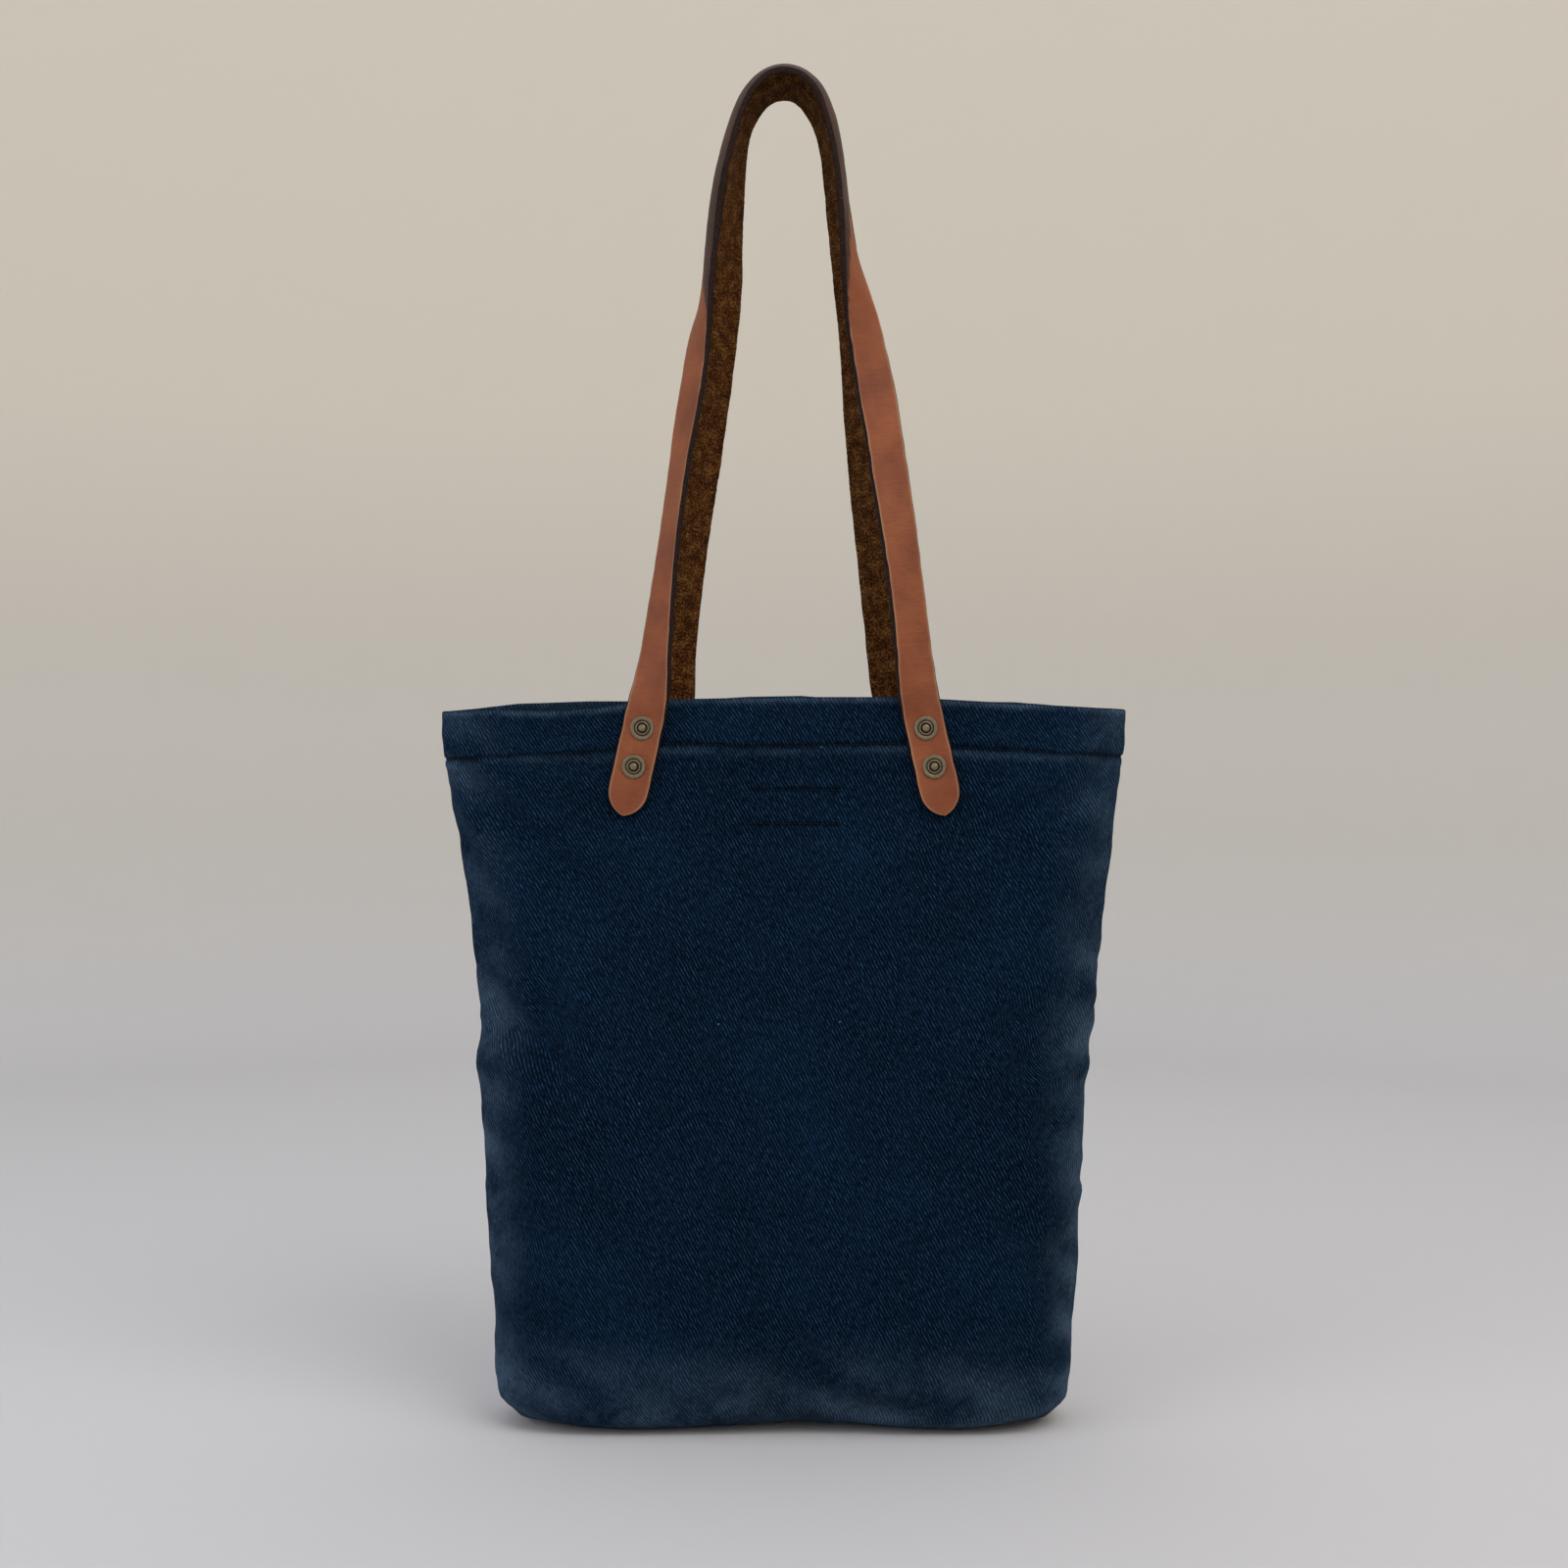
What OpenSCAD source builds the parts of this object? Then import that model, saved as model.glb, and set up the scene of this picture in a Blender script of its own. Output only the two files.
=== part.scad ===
// Beach bag: a twill tote with a boxed bottom, a turned hem at the mouth and
// two riveted leather handles. Millimetres, +Z up. The origin is the middle of
// the base on the floor, the front faces -Y and +X is to the right of the front.

/* [Bag] */
// Width of the mouth
mouth_w = 380; // [350:1:400]
// Depth of the mouth where it stands open between the handles
mouth_d = 32; // [30:1:40]
// Height of the rim above the floor
rim_h = 398; // [380:1:430]
// Length of the boxed bottom
base_w = 314; // [290:1:330]
// Depth of the boxed bottom
base_d = 76; // [64:1:90]
// Radius of the rounded edge round the bottom
edge_r = 12; // [10:1:16]
// How far the rim drops at the side seams
rim_droop = 6; // [0:1:10]
// Thickness of the twill
cloth_t = 1.2; // [1:0.1:1.5]

/* [Hem, seams and label] */
// Depth of the hem turned in at the rim
hem_depth = 28; // [20:1:34]
// Width of a seam allowance
seam_w = 10; // [6:1:12]
// Thickness of a seam allowance, two layers of twill
seam_t = 2.6; // [2:0.1:3]
// Thickness of the sewing thread
thread_t = 0.4; // [0.3:0.1:0.5]
// Width of the blank label sewn inside the front
label_w = 50; // [30:1:60]
// Height of the label
label_h = 24; // [16:1:26]
// How far the label lies to the right of the middle
label_x = 6; // [0:1:12]

/* [Handles] */
// Width of the leather strap
strap_w = 21.5; // [18:0.5:24]
// Thickness of the leather
strap_t = 3; // [2.5:0.1:3.5]
// Height of the top of the handles above the floor
handle_top = 750; // [700:1:780]
// Half the distance between the legs of the front handle at the rim
leg_x = 73; // [60:1:84]
// How much nearer the middle the legs of the back handle are at the rim
back_inset = 12; // [0:1:16]
// Radius of the front handle's arch, to the middle of the strap
arch_r = 27; // [24:1:32]
// Radius of the back handle's arch
back_arch_r = 24; // [22:1:30]
// Turn of the strap from flat on the bag to its set along the arch, in degrees
twist = 62; // [50:1:70]
// Height above the rim at which the turn is complete
twist_rise = 235; // [180:5:260]
// Length of each strap end below the rim
tab_len = 66; // [60:1:70]
// Lean of each strap end, its tip outward, in degrees
tab_lean = 12.5; // [5:0.5:15]

/* [Rivets] */
// Radius of the ringed cap on the outside
cap_r = 6.6; // [5.5:0.1:7.5]
// Thickness of the ringed cap
cap_t = 1.6; // [1.2:0.1:2]
// Radius of the rivet's post
post_r = 1.6; // [1.2:0.1:2]
// Radius of the rivet's flat head inside the bag
head_r = 5; // [4:0.1:6]
// Depth of the upper rivet below the rim
rivet_upper = 16.5; // [14:0.5:20]
// Depth of the lower rivet below the rim
rivet_lower = 37.5; // [34:0.5:42]

/* [Hidden] */
$fn = 48;

// Gap left between layers that lie on each other
gap = 0.1;
// Gap left beside a seam allowance and the curved wall next to it
seam_gap = 0.5;
// Radial clearance of a rivet's post in its holes
post_fit = 0.05;
// Gap from the fold line to the loop's foot above it and to the strap end below it
fold_gap = 0.5;

// The walls stand upright down to flat_z and are full depth from full_z down
flat_z = rim_h - 73;
full_z = 40;
// Exponent of the taper in width from the base up to the mouth
taper = 1.6;
// Exponent that keeps the front flat between its rounded sides
flatness = 6;
// Steps across half a panel, down its wall, round its edge and under the base
side_n = 12;
wall_n = 14;
edge_n = 4;
floor_n = 2;

// Outer face of the mouth and the layers that follow it, measured from y = 0
face_y = mouth_d / 2;
hem_e = cloth_t + gap;
lining_y = face_y - cloth_t - gap;
strap_in_y = face_y + thread_t + 1.5 * gap;
strap_y = strap_in_y + strap_t / 2;
strap_out_y = strap_in_y + strap_t;

// The strap folds outward about a line along X at fold_z, 0.15 mm outside its outer
// face, so that the folded loop hangs clear of the strap end
fold_z = rim_h + 3;
foot_z = fold_z + fold_gap;
tab_top = fold_z - fold_gap;
// Half the gap between the two handles where they lean on each other
ridge_gap = 0.3;
ridge_y = ridge_gap + strap_w / 2 * sin(twist) + strap_t / 2 * cos(twist);
ridge_rise = strap_w / 2 * cos(twist) + strap_t / 2 * sin(twist);
arch_top = handle_top - ridge_rise;
leg_n = 20;
arch_n = 18;
strap_bevel = 0.8;
// Handles as [leg's place at the rim, radius of the arch, outward bow of the legs]
front_handle = [leg_x, arch_r, 0.3];
back_handle = [leg_x - back_inset, back_arch_r, 0];

twill_color = "#1c3450";
hem_color = "#203a58";
leather_color = "#9a5538";
thread_color = "#14253a";
label_color = "#c9c4b4";
brass_color = "#7d7058";

// ---- Shape of the bag ----

function smooth(t) = let(s = max(0, min(1, t))) s * s * (3 - 2 * s);

// Half width and half depth of the bag at a height
function half_w(z) = (base_w + (mouth_w - base_w) * pow(z / rim_h, taper)) / 2;
function half_d(z) = (mouth_d + (base_d - mouth_d) * smooth((flat_z - z) / (flat_z - full_z))) / 2;

// Rings [half width, half depth, height] that lie a distance e inside the face
function wall_ring(z, e) = [half_w(z) - e, half_d(z) - e, z];
function edge_ring(a, e) =
    let(r = edge_r - e)
    [base_w / 2 - edge_r + r * cos(a), base_d / 2 - edge_r + r * cos(a), edge_r - r * sin(a)];
function floor_ring(k, e) = [base_w / 2 - edge_r, (base_d / 2 - edge_r) * (1 - k), e];
function wall_rings(top, bottom, n, e) =
    [for (i = [0:n]) wall_ring(top - (top - bottom) * i / n, e)];
function panel_rings(e) = concat(
    wall_rings(rim_h, edge_r, wall_n, e),
    [for (i = [1:edge_n]) edge_ring(90 * i / edge_n, e)],
    [for (i = [1:floor_n]) floor_ring(i / floor_n, e)]
);

// Point on a ring at u, from -1 at the left side seam to 1 at the right one
function skin_point(ring, u) =
    let(s = sin(90 * u),
        lift = pow(max(0, 1 - pow(abs(s), flatness)), 1 / (3 - ring[2] / rim_h)),
        drop = rim_droop * pow(ring[2] / rim_h, 2) * pow(abs(s), 3))
    [ring[0] * s, -ring[1] * lift, ring[2] - drop];
function skin_row(ring) = [for (j = [-side_n:side_n]) skin_point(ring, j / side_n)];

// Closed front half of a sheet between an outer and an inner stack of rings
module sheet(outer, inner) {
    rows = len(outer);
    cols = 2 * side_n + 1;
    deep = rows * cols;
    points = [for (stack = [outer, inner], ring = stack) each skin_row(ring)];
    tiles = [for (r = [0:rows - 2], c = [0:cols - 2])
        let(a = r * cols + c, b = a + 1, d = a + cols, e = d + 1)
        each [[a, b, e], [a, e, d], [deep + a, deep + e, deep + b], [deep + a, deep + d, deep + e]]];
    last = (rows - 1) * cols;
    ends = [for (c = [0:cols - 2])
        each [[deep + c, deep + c + 1, c + 1], [deep + c, c + 1, c],
              [deep + last + c + 1, deep + last + c, last + c],
              [deep + last + c + 1, last + c, last + c + 1]]];
    sides = [for (r = [0:rows - 2])
        let(a = r * cols, d = a + cols, b = a + cols - 1, e = b + cols)
        each [[a, d, deep + d], [a, deep + d, deep + a],
              [deep + b, deep + e, e], [deep + b, e, b]]];
    polyhedron(points, concat(tiles, ends, sides));
}

// Solid swept through rings of points that run anticlockwise about the way along
module sweep(rings, closed = false) {
    n = len(rings);
    k = len(rings[0]);
    walls = [for (i = [0:closed ? n - 1 : n - 2], j = [0:k - 1])
        let(m = (j + 1) % k, a = i * k, d = ((i + 1) % n) * k)
        each [[a + j, d + j, d + m], [a + j, d + m, a + m]]];
    caps = closed ? [] : [[for (j = [0:k - 1]) j], [for (j = [k - 1:-1:0]) (n - 1) * k + j]];
    polyhedron([for (ring = rings) each ring], concat(walls, caps));
}

module back_half() {
    mirror([0, 1, 0]) children();
}

module left_half() {
    mirror([1, 0, 0]) children();
}

// ---- Panels, hems and seams ----

// Rivet positions on one side, as [x, z], for a handle whose leg meets the rim at x_rim
function rivet_at(x_rim, depth) = [x_rim + (fold_z - rim_h + depth) * tan(tab_lean), rim_h - depth];
function rivet_spots(x_rim) = [for (side = [-1, 1], depth = [rivet_upper, rivet_lower])
    let(spot = rivet_at(x_rim, depth)) [side * spot[0], spot[1]]];

// Holes for the posts, along Y through the front of the bag
module post_holes(x_rim, r) {
    for (spot = rivet_spots(x_rim))
        translate([spot[0], 0, spot[1]]) rotate([90, 0, 0]) cylinder(h = strap_out_y + 5, r = r);
}

module panel(x_rim) {
    color(twill_color)
    difference() {
        sheet(panel_rings(0), panel_rings(cloth_t));
        post_holes(x_rim, post_r + post_fit);
    }
}

module hem(x_rim) {
    low = rim_h - hem_depth;
    color(hem_color)
    difference() {
        sheet(wall_rings(rim_h, low, 2, hem_e), wall_rings(rim_h, low, 2, hem_e + cloth_t));
        post_holes(x_rim, post_r + post_fit);
    }
}

module front_panel() { panel(front_handle[0]); }
module back_panel() { back_half() panel(back_handle[0]); }
module front_hem() { hem(front_handle[0]); }
module back_hem() { back_half() hem(back_handle[0]); }

// Allowances of a side seam, pressed together and standing inward from the wall
module side_seam() {
    low = 2 * edge_r;
    high = rim_h - hem_depth - 8;
    steps = 10;
    ring = [for (i = [0:steps])
        let(z = low + (high - low) * i / steps, x = half_w(z) - cloth_t - seam_gap)
        [[x, -seam_t / 2, z], [x, seam_t / 2, z],
         [x - seam_w, seam_t / 2, z], [x - seam_w, -seam_t / 2, z]]];
    color(hem_color) sweep(ring);
}

module side_seam_left() { left_half() side_seam(); }
module side_seam_right() { side_seam(); }

// The seam along the middle of the base runs up to the seams across its ends
corner_x = base_w / 2 - 2 * edge_r;
base_seam_x = corner_x - gap;

module base_seam() {
    color(hem_color)
    translate([-base_seam_x, -seam_t / 2, cloth_t + gap])
        cube([2 * base_seam_x, seam_t, seam_w]);
}

// Seam across a boxed corner, at the end of the base
module corner_seam() {
    half = base_d / 2 - 1.6 * edge_r;
    color(hem_color)
    translate([corner_x, -half, cloth_t + gap])
        cube([seam_t, 2 * half, seam_w - 2]);
}

module corner_seam_left() { left_half() corner_seam(); }
module corner_seam_right() { corner_seam(); }

// ---- Stitching and label ----

// Thread round the mouth at the foot of the hem
module hem_stitching() {
    z = rim_h - hem_depth + 1;
    near = -gap / 2;
    far = near - thread_t;
    corners = [[near, -1], [far, -1], [far, 1], [near, 1]];
    front = [for (j = [-side_n:side_n]) [for (c = corners)
        skin_point(wall_ring(z, c[0]) + [0, 0, c[1] * thread_t / 2], j / side_n)]];
    back = [for (i = [2 * side_n - 1:-1:1]) [for (p = front[i]) [p[0], -p[1], p[2]]]];
    color(thread_color) sweep(concat(front, back), closed = true);
}

label_low = flat_z + 1;

module inner_label() {
    color(label_color)
    translate([label_x - label_w / 2, -lining_y, label_low])
        cube([label_w, 0.8, label_h]);
}

// Rows of thread along the label's top and bottom edge, outside and inside
module label_stitching() {
    run = label_w - 2;
    color(thread_color)
    for (z = [label_low + 1, label_low + label_h - 1 - thread_t])
        for (y = [-face_y - gap / 2 - thread_t, -lining_y + 0.8 + gap / 2])
            translate([label_x - run / 2, y, z]) cube([run, thread_t, thread_t]);
}

// ---- Handles ----

// Share of the turn that a strap has made at a height
function turned(z) = smooth((z - fold_z) / twist_rise);

// Angle of a leg to the upright where it meets the arch
function arch_lean(handle) =
    atan((handle[0] - handle[1]) * (1 + handle[2]) / (arch_top - handle[1] - foot_z));

// Middle of the strap from the left leg's foot, round the arch, to the right leg's foot
function leg_line(handle) =
    let(r = handle[1], bow = handle[2],
        centre_z = arch_top - r,
        lean = arch_lean(handle),
        x_top = r * cos(lean), z_top = centre_z - r * sin(lean))
    [for (i = [0:leg_n - 1])
        let(t = 1 - i / leg_n)
        [-x_top - (handle[0] - x_top) * t * (1 + bow - bow * t), 0, z_top - (z_top - foot_z) * t]];
function arch_line(handle) =
    let(r = handle[1], centre_z = arch_top - r,
        lean = arch_lean(handle))
    [for (i = [0:arch_n])
        let(a = 180 + lean - (180 + 2 * lean) * i / arch_n)
        [r * cos(a), 0, centre_z + r * sin(a)]];
function strap_line(handle) =
    let(leg = leg_line(handle))
    concat(leg, arch_line(handle), [for (i = [leg_n - 1:-1:0]) [-leg[i][0], 0, leg[i][2]]]);

// Bevelled section of the strap, in its width and its thickness
strap_section =
    let(w = strap_w / 2, t = strap_t / 2, b = strap_bevel)
    [[w, t - b], [w - b, t], [b - w, t], [-w, t - b], [-w, b - t], [b - w, -t], [w - b, -t], [w, b - t]];

// Section set at point i of the line: flat on the bag at the rim, turned along the arch.
// Both end sections are level, so that they swing clear of the strap ends.
function strap_ring(line, i) =
    let(last = len(line) - 1,
        way = i == 0 ? [0, 0, 1] : i == last ? [0, 0, -1] : line[i + 1] - line[i - 1],
        along = way / norm(way),
        out = cross(along, [0, 1, 0]),
        share = turned(line[i][2]),
        a = twist * share,
        middle = line[i] - [0, strap_y + (ridge_y - strap_y) * share, 0],
        across = [0, sin(a), 0] + out * cos(a),
        grain = [0, -cos(a), 0] + out * sin(a))
    [for (p = strap_section) middle + across * p[0] + grain * p[1]];

module handle_loop(handle) {
    line = strap_line(handle);
    color(leather_color) sweep([for (i = [0:len(line) - 1]) strap_ring(line, i)]);
}

// Outline of a strap end with a pointed tip, hanging down from the fold line
module strap_end_outline() {
    half = strap_w / 2;
    tip = 14;
    bow_r = (half * half + tip * tip) / (2 * half);
    reach = fold_z - rim_h + tab_len;
    translate([-half, tip - reach]) square([strap_w, reach - tip + 10]);
    translate([0, tip - reach]) intersection() {
        translate([bow_r - half, 0]) circle(r = bow_r);
        translate([half - bow_r, 0]) circle(r = bow_r);
    }
}

// Fixed end of a right-hand strap, riveted flat on the front of the bag
module strap_end(x_rim) {
    color(leather_color)
    difference() {
        translate([0, -strap_in_y, 0]) rotate([90, 0, 0]) linear_extrude(strap_t)
            intersection() {
                translate([x_rim, fold_z]) rotate(tab_lean) strap_end_outline();
                translate([0, rim_h - 2 * tab_len]) square([mouth_w, tab_top - rim_h + 2 * tab_len]);
            }
        post_holes(x_rim, post_r + post_fit);
    }
}

module front_handle_loop() { handle_loop(front_handle); }
module back_handle_loop() { back_half() handle_loop(back_handle); }
module front_strap_end_left() { left_half() strap_end(front_handle[0]); }
module front_strap_end_right() { strap_end(front_handle[0]); }
module back_strap_end_left() { back_half() left_half() strap_end(back_handle[0]); }
module back_strap_end_right() { back_half() strap_end(back_handle[0]); }

// ---- Rivets and caps ----

// Rivet from the inside out: flat head, post through hem, panel and strap, peened end
module rivet(x_rim, depth) {
    spot = rivet_at(x_rim, depth);
    head_t = 1.2;
    head_y = face_y - hem_e - cloth_t - gap;
    nub = 0.9;
    cap_y = strap_out_y + gap + cap_t + gap;
    color(brass_color)
    translate([spot[0], 0, spot[1]]) rotate([90, 0, 0]) {
        translate([0, 0, head_y - head_t]) cylinder(h = head_t, r = head_r);
        translate([0, 0, head_y - head_t / 2]) cylinder(h = cap_y - head_y + head_t / 2, r = post_r);
        translate([0, 0, cap_y]) cylinder(h = nub, r1 = post_r + 0.6, r2 = post_r - 0.5);
    }
}

// Ringed cap over the post: a rim, a groove, a raised ring and a dish round the hole
module cap(x_rim, depth) {
    spot = rivet_at(x_rim, depth);
    hole = post_r + post_fit;
    color(brass_color)
    translate([spot[0], -strap_out_y - gap, spot[1]]) rotate([90, 0, 0]) rotate_extrude()
        polygon([
            [hole, 0], [cap_r, 0], [cap_r, 0.5 * cap_t], [0.93 * cap_r, 0.8 * cap_t],
            [0.8 * cap_r, 0.8 * cap_t], [0.74 * cap_r, 0.6 * cap_t], [0.68 * cap_r, cap_t],
            [0.56 * cap_r, cap_t], [0.5 * cap_r, 0.75 * cap_t], [0.4 * cap_r, cap_t], [hole, cap_t]
        ]);
}

module rivet_front_left_upper() { left_half() rivet(front_handle[0], rivet_upper); }
module rivet_front_left_lower() { left_half() rivet(front_handle[0], rivet_lower); }
module rivet_front_right_upper() { rivet(front_handle[0], rivet_upper); }
module rivet_front_right_lower() { rivet(front_handle[0], rivet_lower); }
module rivet_back_left_upper() { back_half() left_half() rivet(back_handle[0], rivet_upper); }
module rivet_back_left_lower() { back_half() left_half() rivet(back_handle[0], rivet_lower); }
module rivet_back_right_upper() { back_half() rivet(back_handle[0], rivet_upper); }
module rivet_back_right_lower() { back_half() rivet(back_handle[0], rivet_lower); }
module cap_front_left_upper() { left_half() cap(front_handle[0], rivet_upper); }
module cap_front_left_lower() { left_half() cap(front_handle[0], rivet_lower); }
module cap_front_right_upper() { cap(front_handle[0], rivet_upper); }
module cap_front_right_lower() { cap(front_handle[0], rivet_lower); }
module cap_back_left_upper() { back_half() left_half() cap(back_handle[0], rivet_upper); }
module cap_back_left_lower() { back_half() left_half() cap(back_handle[0], rivet_lower); }
module cap_back_right_upper() { back_half() cap(back_handle[0], rivet_upper); }
module cap_back_right_lower() { back_half() cap(back_handle[0], rivet_lower); }

front_panel();
back_panel();
front_hem();
back_hem();
side_seam_left();
side_seam_right();
base_seam();
corner_seam_left();
corner_seam_right();
hem_stitching();
inner_label();
label_stitching();
front_handle_loop();
back_handle_loop();
front_strap_end_left();
front_strap_end_right();
back_strap_end_left();
back_strap_end_right();
rivet_front_left_upper();
rivet_front_left_lower();
rivet_front_right_upper();
rivet_front_right_lower();
rivet_back_left_upper();
rivet_back_left_lower();
rivet_back_right_upper();
rivet_back_right_lower();
cap_front_left_upper();
cap_front_left_lower();
cap_front_right_upper();
cap_front_right_lower();
cap_back_left_upper();
cap_back_left_lower();
cap_back_right_upper();
cap_back_right_lower();
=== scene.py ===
"""Beach bag: a filled twill tote with a boxed bottom and two riveted leather handles."""

import logging
import math
from dataclasses import dataclass, field
from enum import Enum

import bmesh
import bpy
import numpy as np
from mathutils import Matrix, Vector


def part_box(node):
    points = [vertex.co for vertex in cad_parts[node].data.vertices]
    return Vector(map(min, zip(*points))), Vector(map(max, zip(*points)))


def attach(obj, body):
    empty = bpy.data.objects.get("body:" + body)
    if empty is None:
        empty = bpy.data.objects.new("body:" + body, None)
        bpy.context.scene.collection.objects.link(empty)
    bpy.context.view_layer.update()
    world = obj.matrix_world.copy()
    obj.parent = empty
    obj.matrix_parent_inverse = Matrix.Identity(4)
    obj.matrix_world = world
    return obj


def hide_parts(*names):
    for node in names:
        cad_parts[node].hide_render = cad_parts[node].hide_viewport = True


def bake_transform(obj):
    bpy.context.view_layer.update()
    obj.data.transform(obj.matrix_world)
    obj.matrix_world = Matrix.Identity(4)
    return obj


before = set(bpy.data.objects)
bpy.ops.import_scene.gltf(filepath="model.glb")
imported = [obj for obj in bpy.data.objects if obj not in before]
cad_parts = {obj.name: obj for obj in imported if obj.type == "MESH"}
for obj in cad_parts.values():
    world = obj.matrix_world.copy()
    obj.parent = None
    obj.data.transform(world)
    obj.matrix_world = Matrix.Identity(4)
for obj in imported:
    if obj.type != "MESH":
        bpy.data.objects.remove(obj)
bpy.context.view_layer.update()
LOG = logging.getLogger("beach_bag")
MM = 0.001
MATH, MIX, RAMP = "ShaderNodeMath", "ShaderNodeMix", "ShaderNodeValToRGB"
NOISE, ATTRIBUTE, UV_MAP = "ShaderNodeTexNoise", "ShaderNodeAttribute", "ShaderNodeUVMap"


class Side(Enum):
    """The two faces of the bag, each with its direction along Y."""

    FRONT = -1
    BACK = 1

    @property
    def word(self) -> str:
        """Name of the face as the nodes spell it."""
        return self.name.lower()


# Where the legs of each handle leave the rim, from the middle, and how far its strap ends lean out
LEG_X = {Side.FRONT: 73 * MM, Side.BACK: 61 * MM}
LEAN = math.radians(12.5)


# ---- Small helpers ----


def linear(code: str) -> tuple[float, float, float, float]:
    """Turns an sRGB hex colour into linear RGBA.

    Args:
        code: Colour such as "#1c3450".

    Returns:
        The linear colour with an alpha of 1.
    """
    parts = [int(code[i:i + 2], 16) / 255 for i in (1, 3, 5)]
    r, g, b = (p / 12.92 if p <= 0.04045 else ((p + 0.055) / 1.055) ** 2.4 for p in parts)
    return (r, g, b, 1.0)


def smooth(t: np.ndarray | float) -> np.ndarray | float:
    """Eases from 0 to 1 as t goes from 0 to 1."""
    s = np.clip(t, 0.0, 1.0)
    return s * s * (3 - 2 * s)


def bump(t: np.ndarray | float) -> np.ndarray | float:
    """Bell that is 1 at t = 0 and has faded by t = 2."""
    return np.exp(-np.square(t))


def along(points: np.ndarray, at: np.ndarray) -> np.ndarray:
    """Catmull-Rom interpolation along the first axis of an array of points.

    Args:
        points: Array whose first axis is the way along.
        at: Fractional indices along that axis.

    Returns:
        One interpolated entry for each index in at.
    """
    n = len(points)
    ext = np.concatenate([[2 * points[0] - points[1]], points, [2 * points[-1] - points[-2]]])
    i = np.clip(np.floor(at).astype(int), 0, n - 2)
    t = (at - i).reshape((-1,) + (1,) * (points.ndim - 1))
    a, b, c, d = ext[i], ext[i + 1], ext[i + 2], ext[i + 3]
    return b + 0.5 * t * (c - a + t * (2 * a - 5 * b + 4 * c - d + t * (3 * (b - c) + d - a)))


def unit(v: np.ndarray) -> np.ndarray:
    """Scales vectors along the last axis to a length of 1."""
    return v / np.maximum(np.linalg.norm(v, axis=-1, keepdims=True), 1e-12)


def waves(seed: int, count: int, low: float, high: float, x: np.ndarray, y: np.ndarray) -> np.ndarray:
    """Smooth noise of about -1 to 1, a sum of sine waves with fixed random directions.

    Args:
        seed: Seed of the directions and phases.
        count: How many waves are added.
        low: Shortest wavelength, in the unit of x and y.
        high: Longest wavelength.
        x: First coordinate.
        y: Second coordinate.

    Returns:
        The noise at each point.
    """
    rng = np.random.default_rng(seed)
    total = np.zeros(np.broadcast(x, y).shape)
    for _ in range(count):
        size = low * (high / low) ** rng.random()
        turn, phase = rng.random(2) * 2 * math.pi
        total = total + np.sin((x * math.cos(turn) + y * math.sin(turn)) * 2 * math.pi / size + phase)
    return total / math.sqrt(count)


def grid_faces(rows: int, cols: int, closed: bool = False) -> np.ndarray:
    """Quads of a grid of points stored row by row.

    Args:
        rows: Number of rows.
        cols: Number of columns.
        closed: Whether the last column joins the first.

    Returns:
        Array of vertex indices, four to a face.
    """
    r, c = np.meshgrid(np.arange(rows - 1), np.arange(cols if closed else cols - 1), indexing="ij")
    d = (c + 1) % cols
    return np.stack([r * cols + c, r * cols + d, (r + 1) * cols + d, (r + 1) * cols + c], -1).reshape(-1, 4)


def make_object(name: str, points: np.ndarray, faces: list, uv: np.ndarray | None = None) -> bpy.types.Object:
    """Makes a smooth-shaded mesh object at the origin.

    Args:
        name: Name of the piece.
        points: Vertex positions in metres.
        faces: Vertex indices of each face.
        uv: Optional place of each vertex on the flat material, in metres.

    Returns:
        The object, linked to the scene.
    """
    mesh = bpy.data.meshes.new(name)
    mesh.from_pydata([tuple(p) for p in points], [], [tuple(int(i) for i in f) for f in faces])
    mesh.polygons.foreach_set("use_smooth", [True] * len(mesh.polygons))
    if uv is not None:
        layer = mesh.uv_layers.new(name="UVMap")
        loops = np.empty(len(mesh.loops), int)
        mesh.loops.foreach_get("vertex_index", loops)
        layer.data.foreach_set("uv", np.asarray(uv, float)[loops].ravel())
    mesh.validate()
    piece = bpy.data.objects.new(name, mesh)
    bpy.context.collection.objects.link(piece)
    return piece


def paint(piece: bpy.types.Object, name: str, values: np.ndarray) -> None:
    """Stores one number for each vertex of a piece as a named attribute."""
    layer = piece.data.attributes.new(name, "FLOAT", "POINT")
    layer.data.foreach_set("value", np.asarray(values, np.float32).ravel())


def apply_modifiers(piece: bpy.types.Object) -> None:
    """Replaces a piece's mesh by the result of its modifiers.

    Args:
        piece: The piece.
    """
    bpy.context.view_layer.update()
    done = bpy.data.meshes.new_from_object(piece.evaluated_get(bpy.context.evaluated_depsgraph_get()))
    piece.modifiers.clear()
    piece.data = done


def outward(piece: bpy.types.Object) -> None:
    """Turns a closed piece's faces to point outward.

    Args:
        piece: The piece.
    """
    work = bmesh.new()
    work.from_mesh(piece.data)
    bmesh.ops.recalc_face_normals(work, faces=work.faces)
    work.to_mesh(piece.data)
    work.free()


def end_faces(rings: int, sides: int) -> list:
    """Closes the two ends of a tube.

    Args:
        rings: Number of rings of the tube.
        sides: Number of points to a ring, stored ring by ring.

    Returns:
        The first ring and the last one as faces.
    """
    last = (rings - 1) * sides
    return [tuple(range(sides)), tuple(range(last + sides - 1, last - 1, -1))]


# ---- Finishes ----


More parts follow.
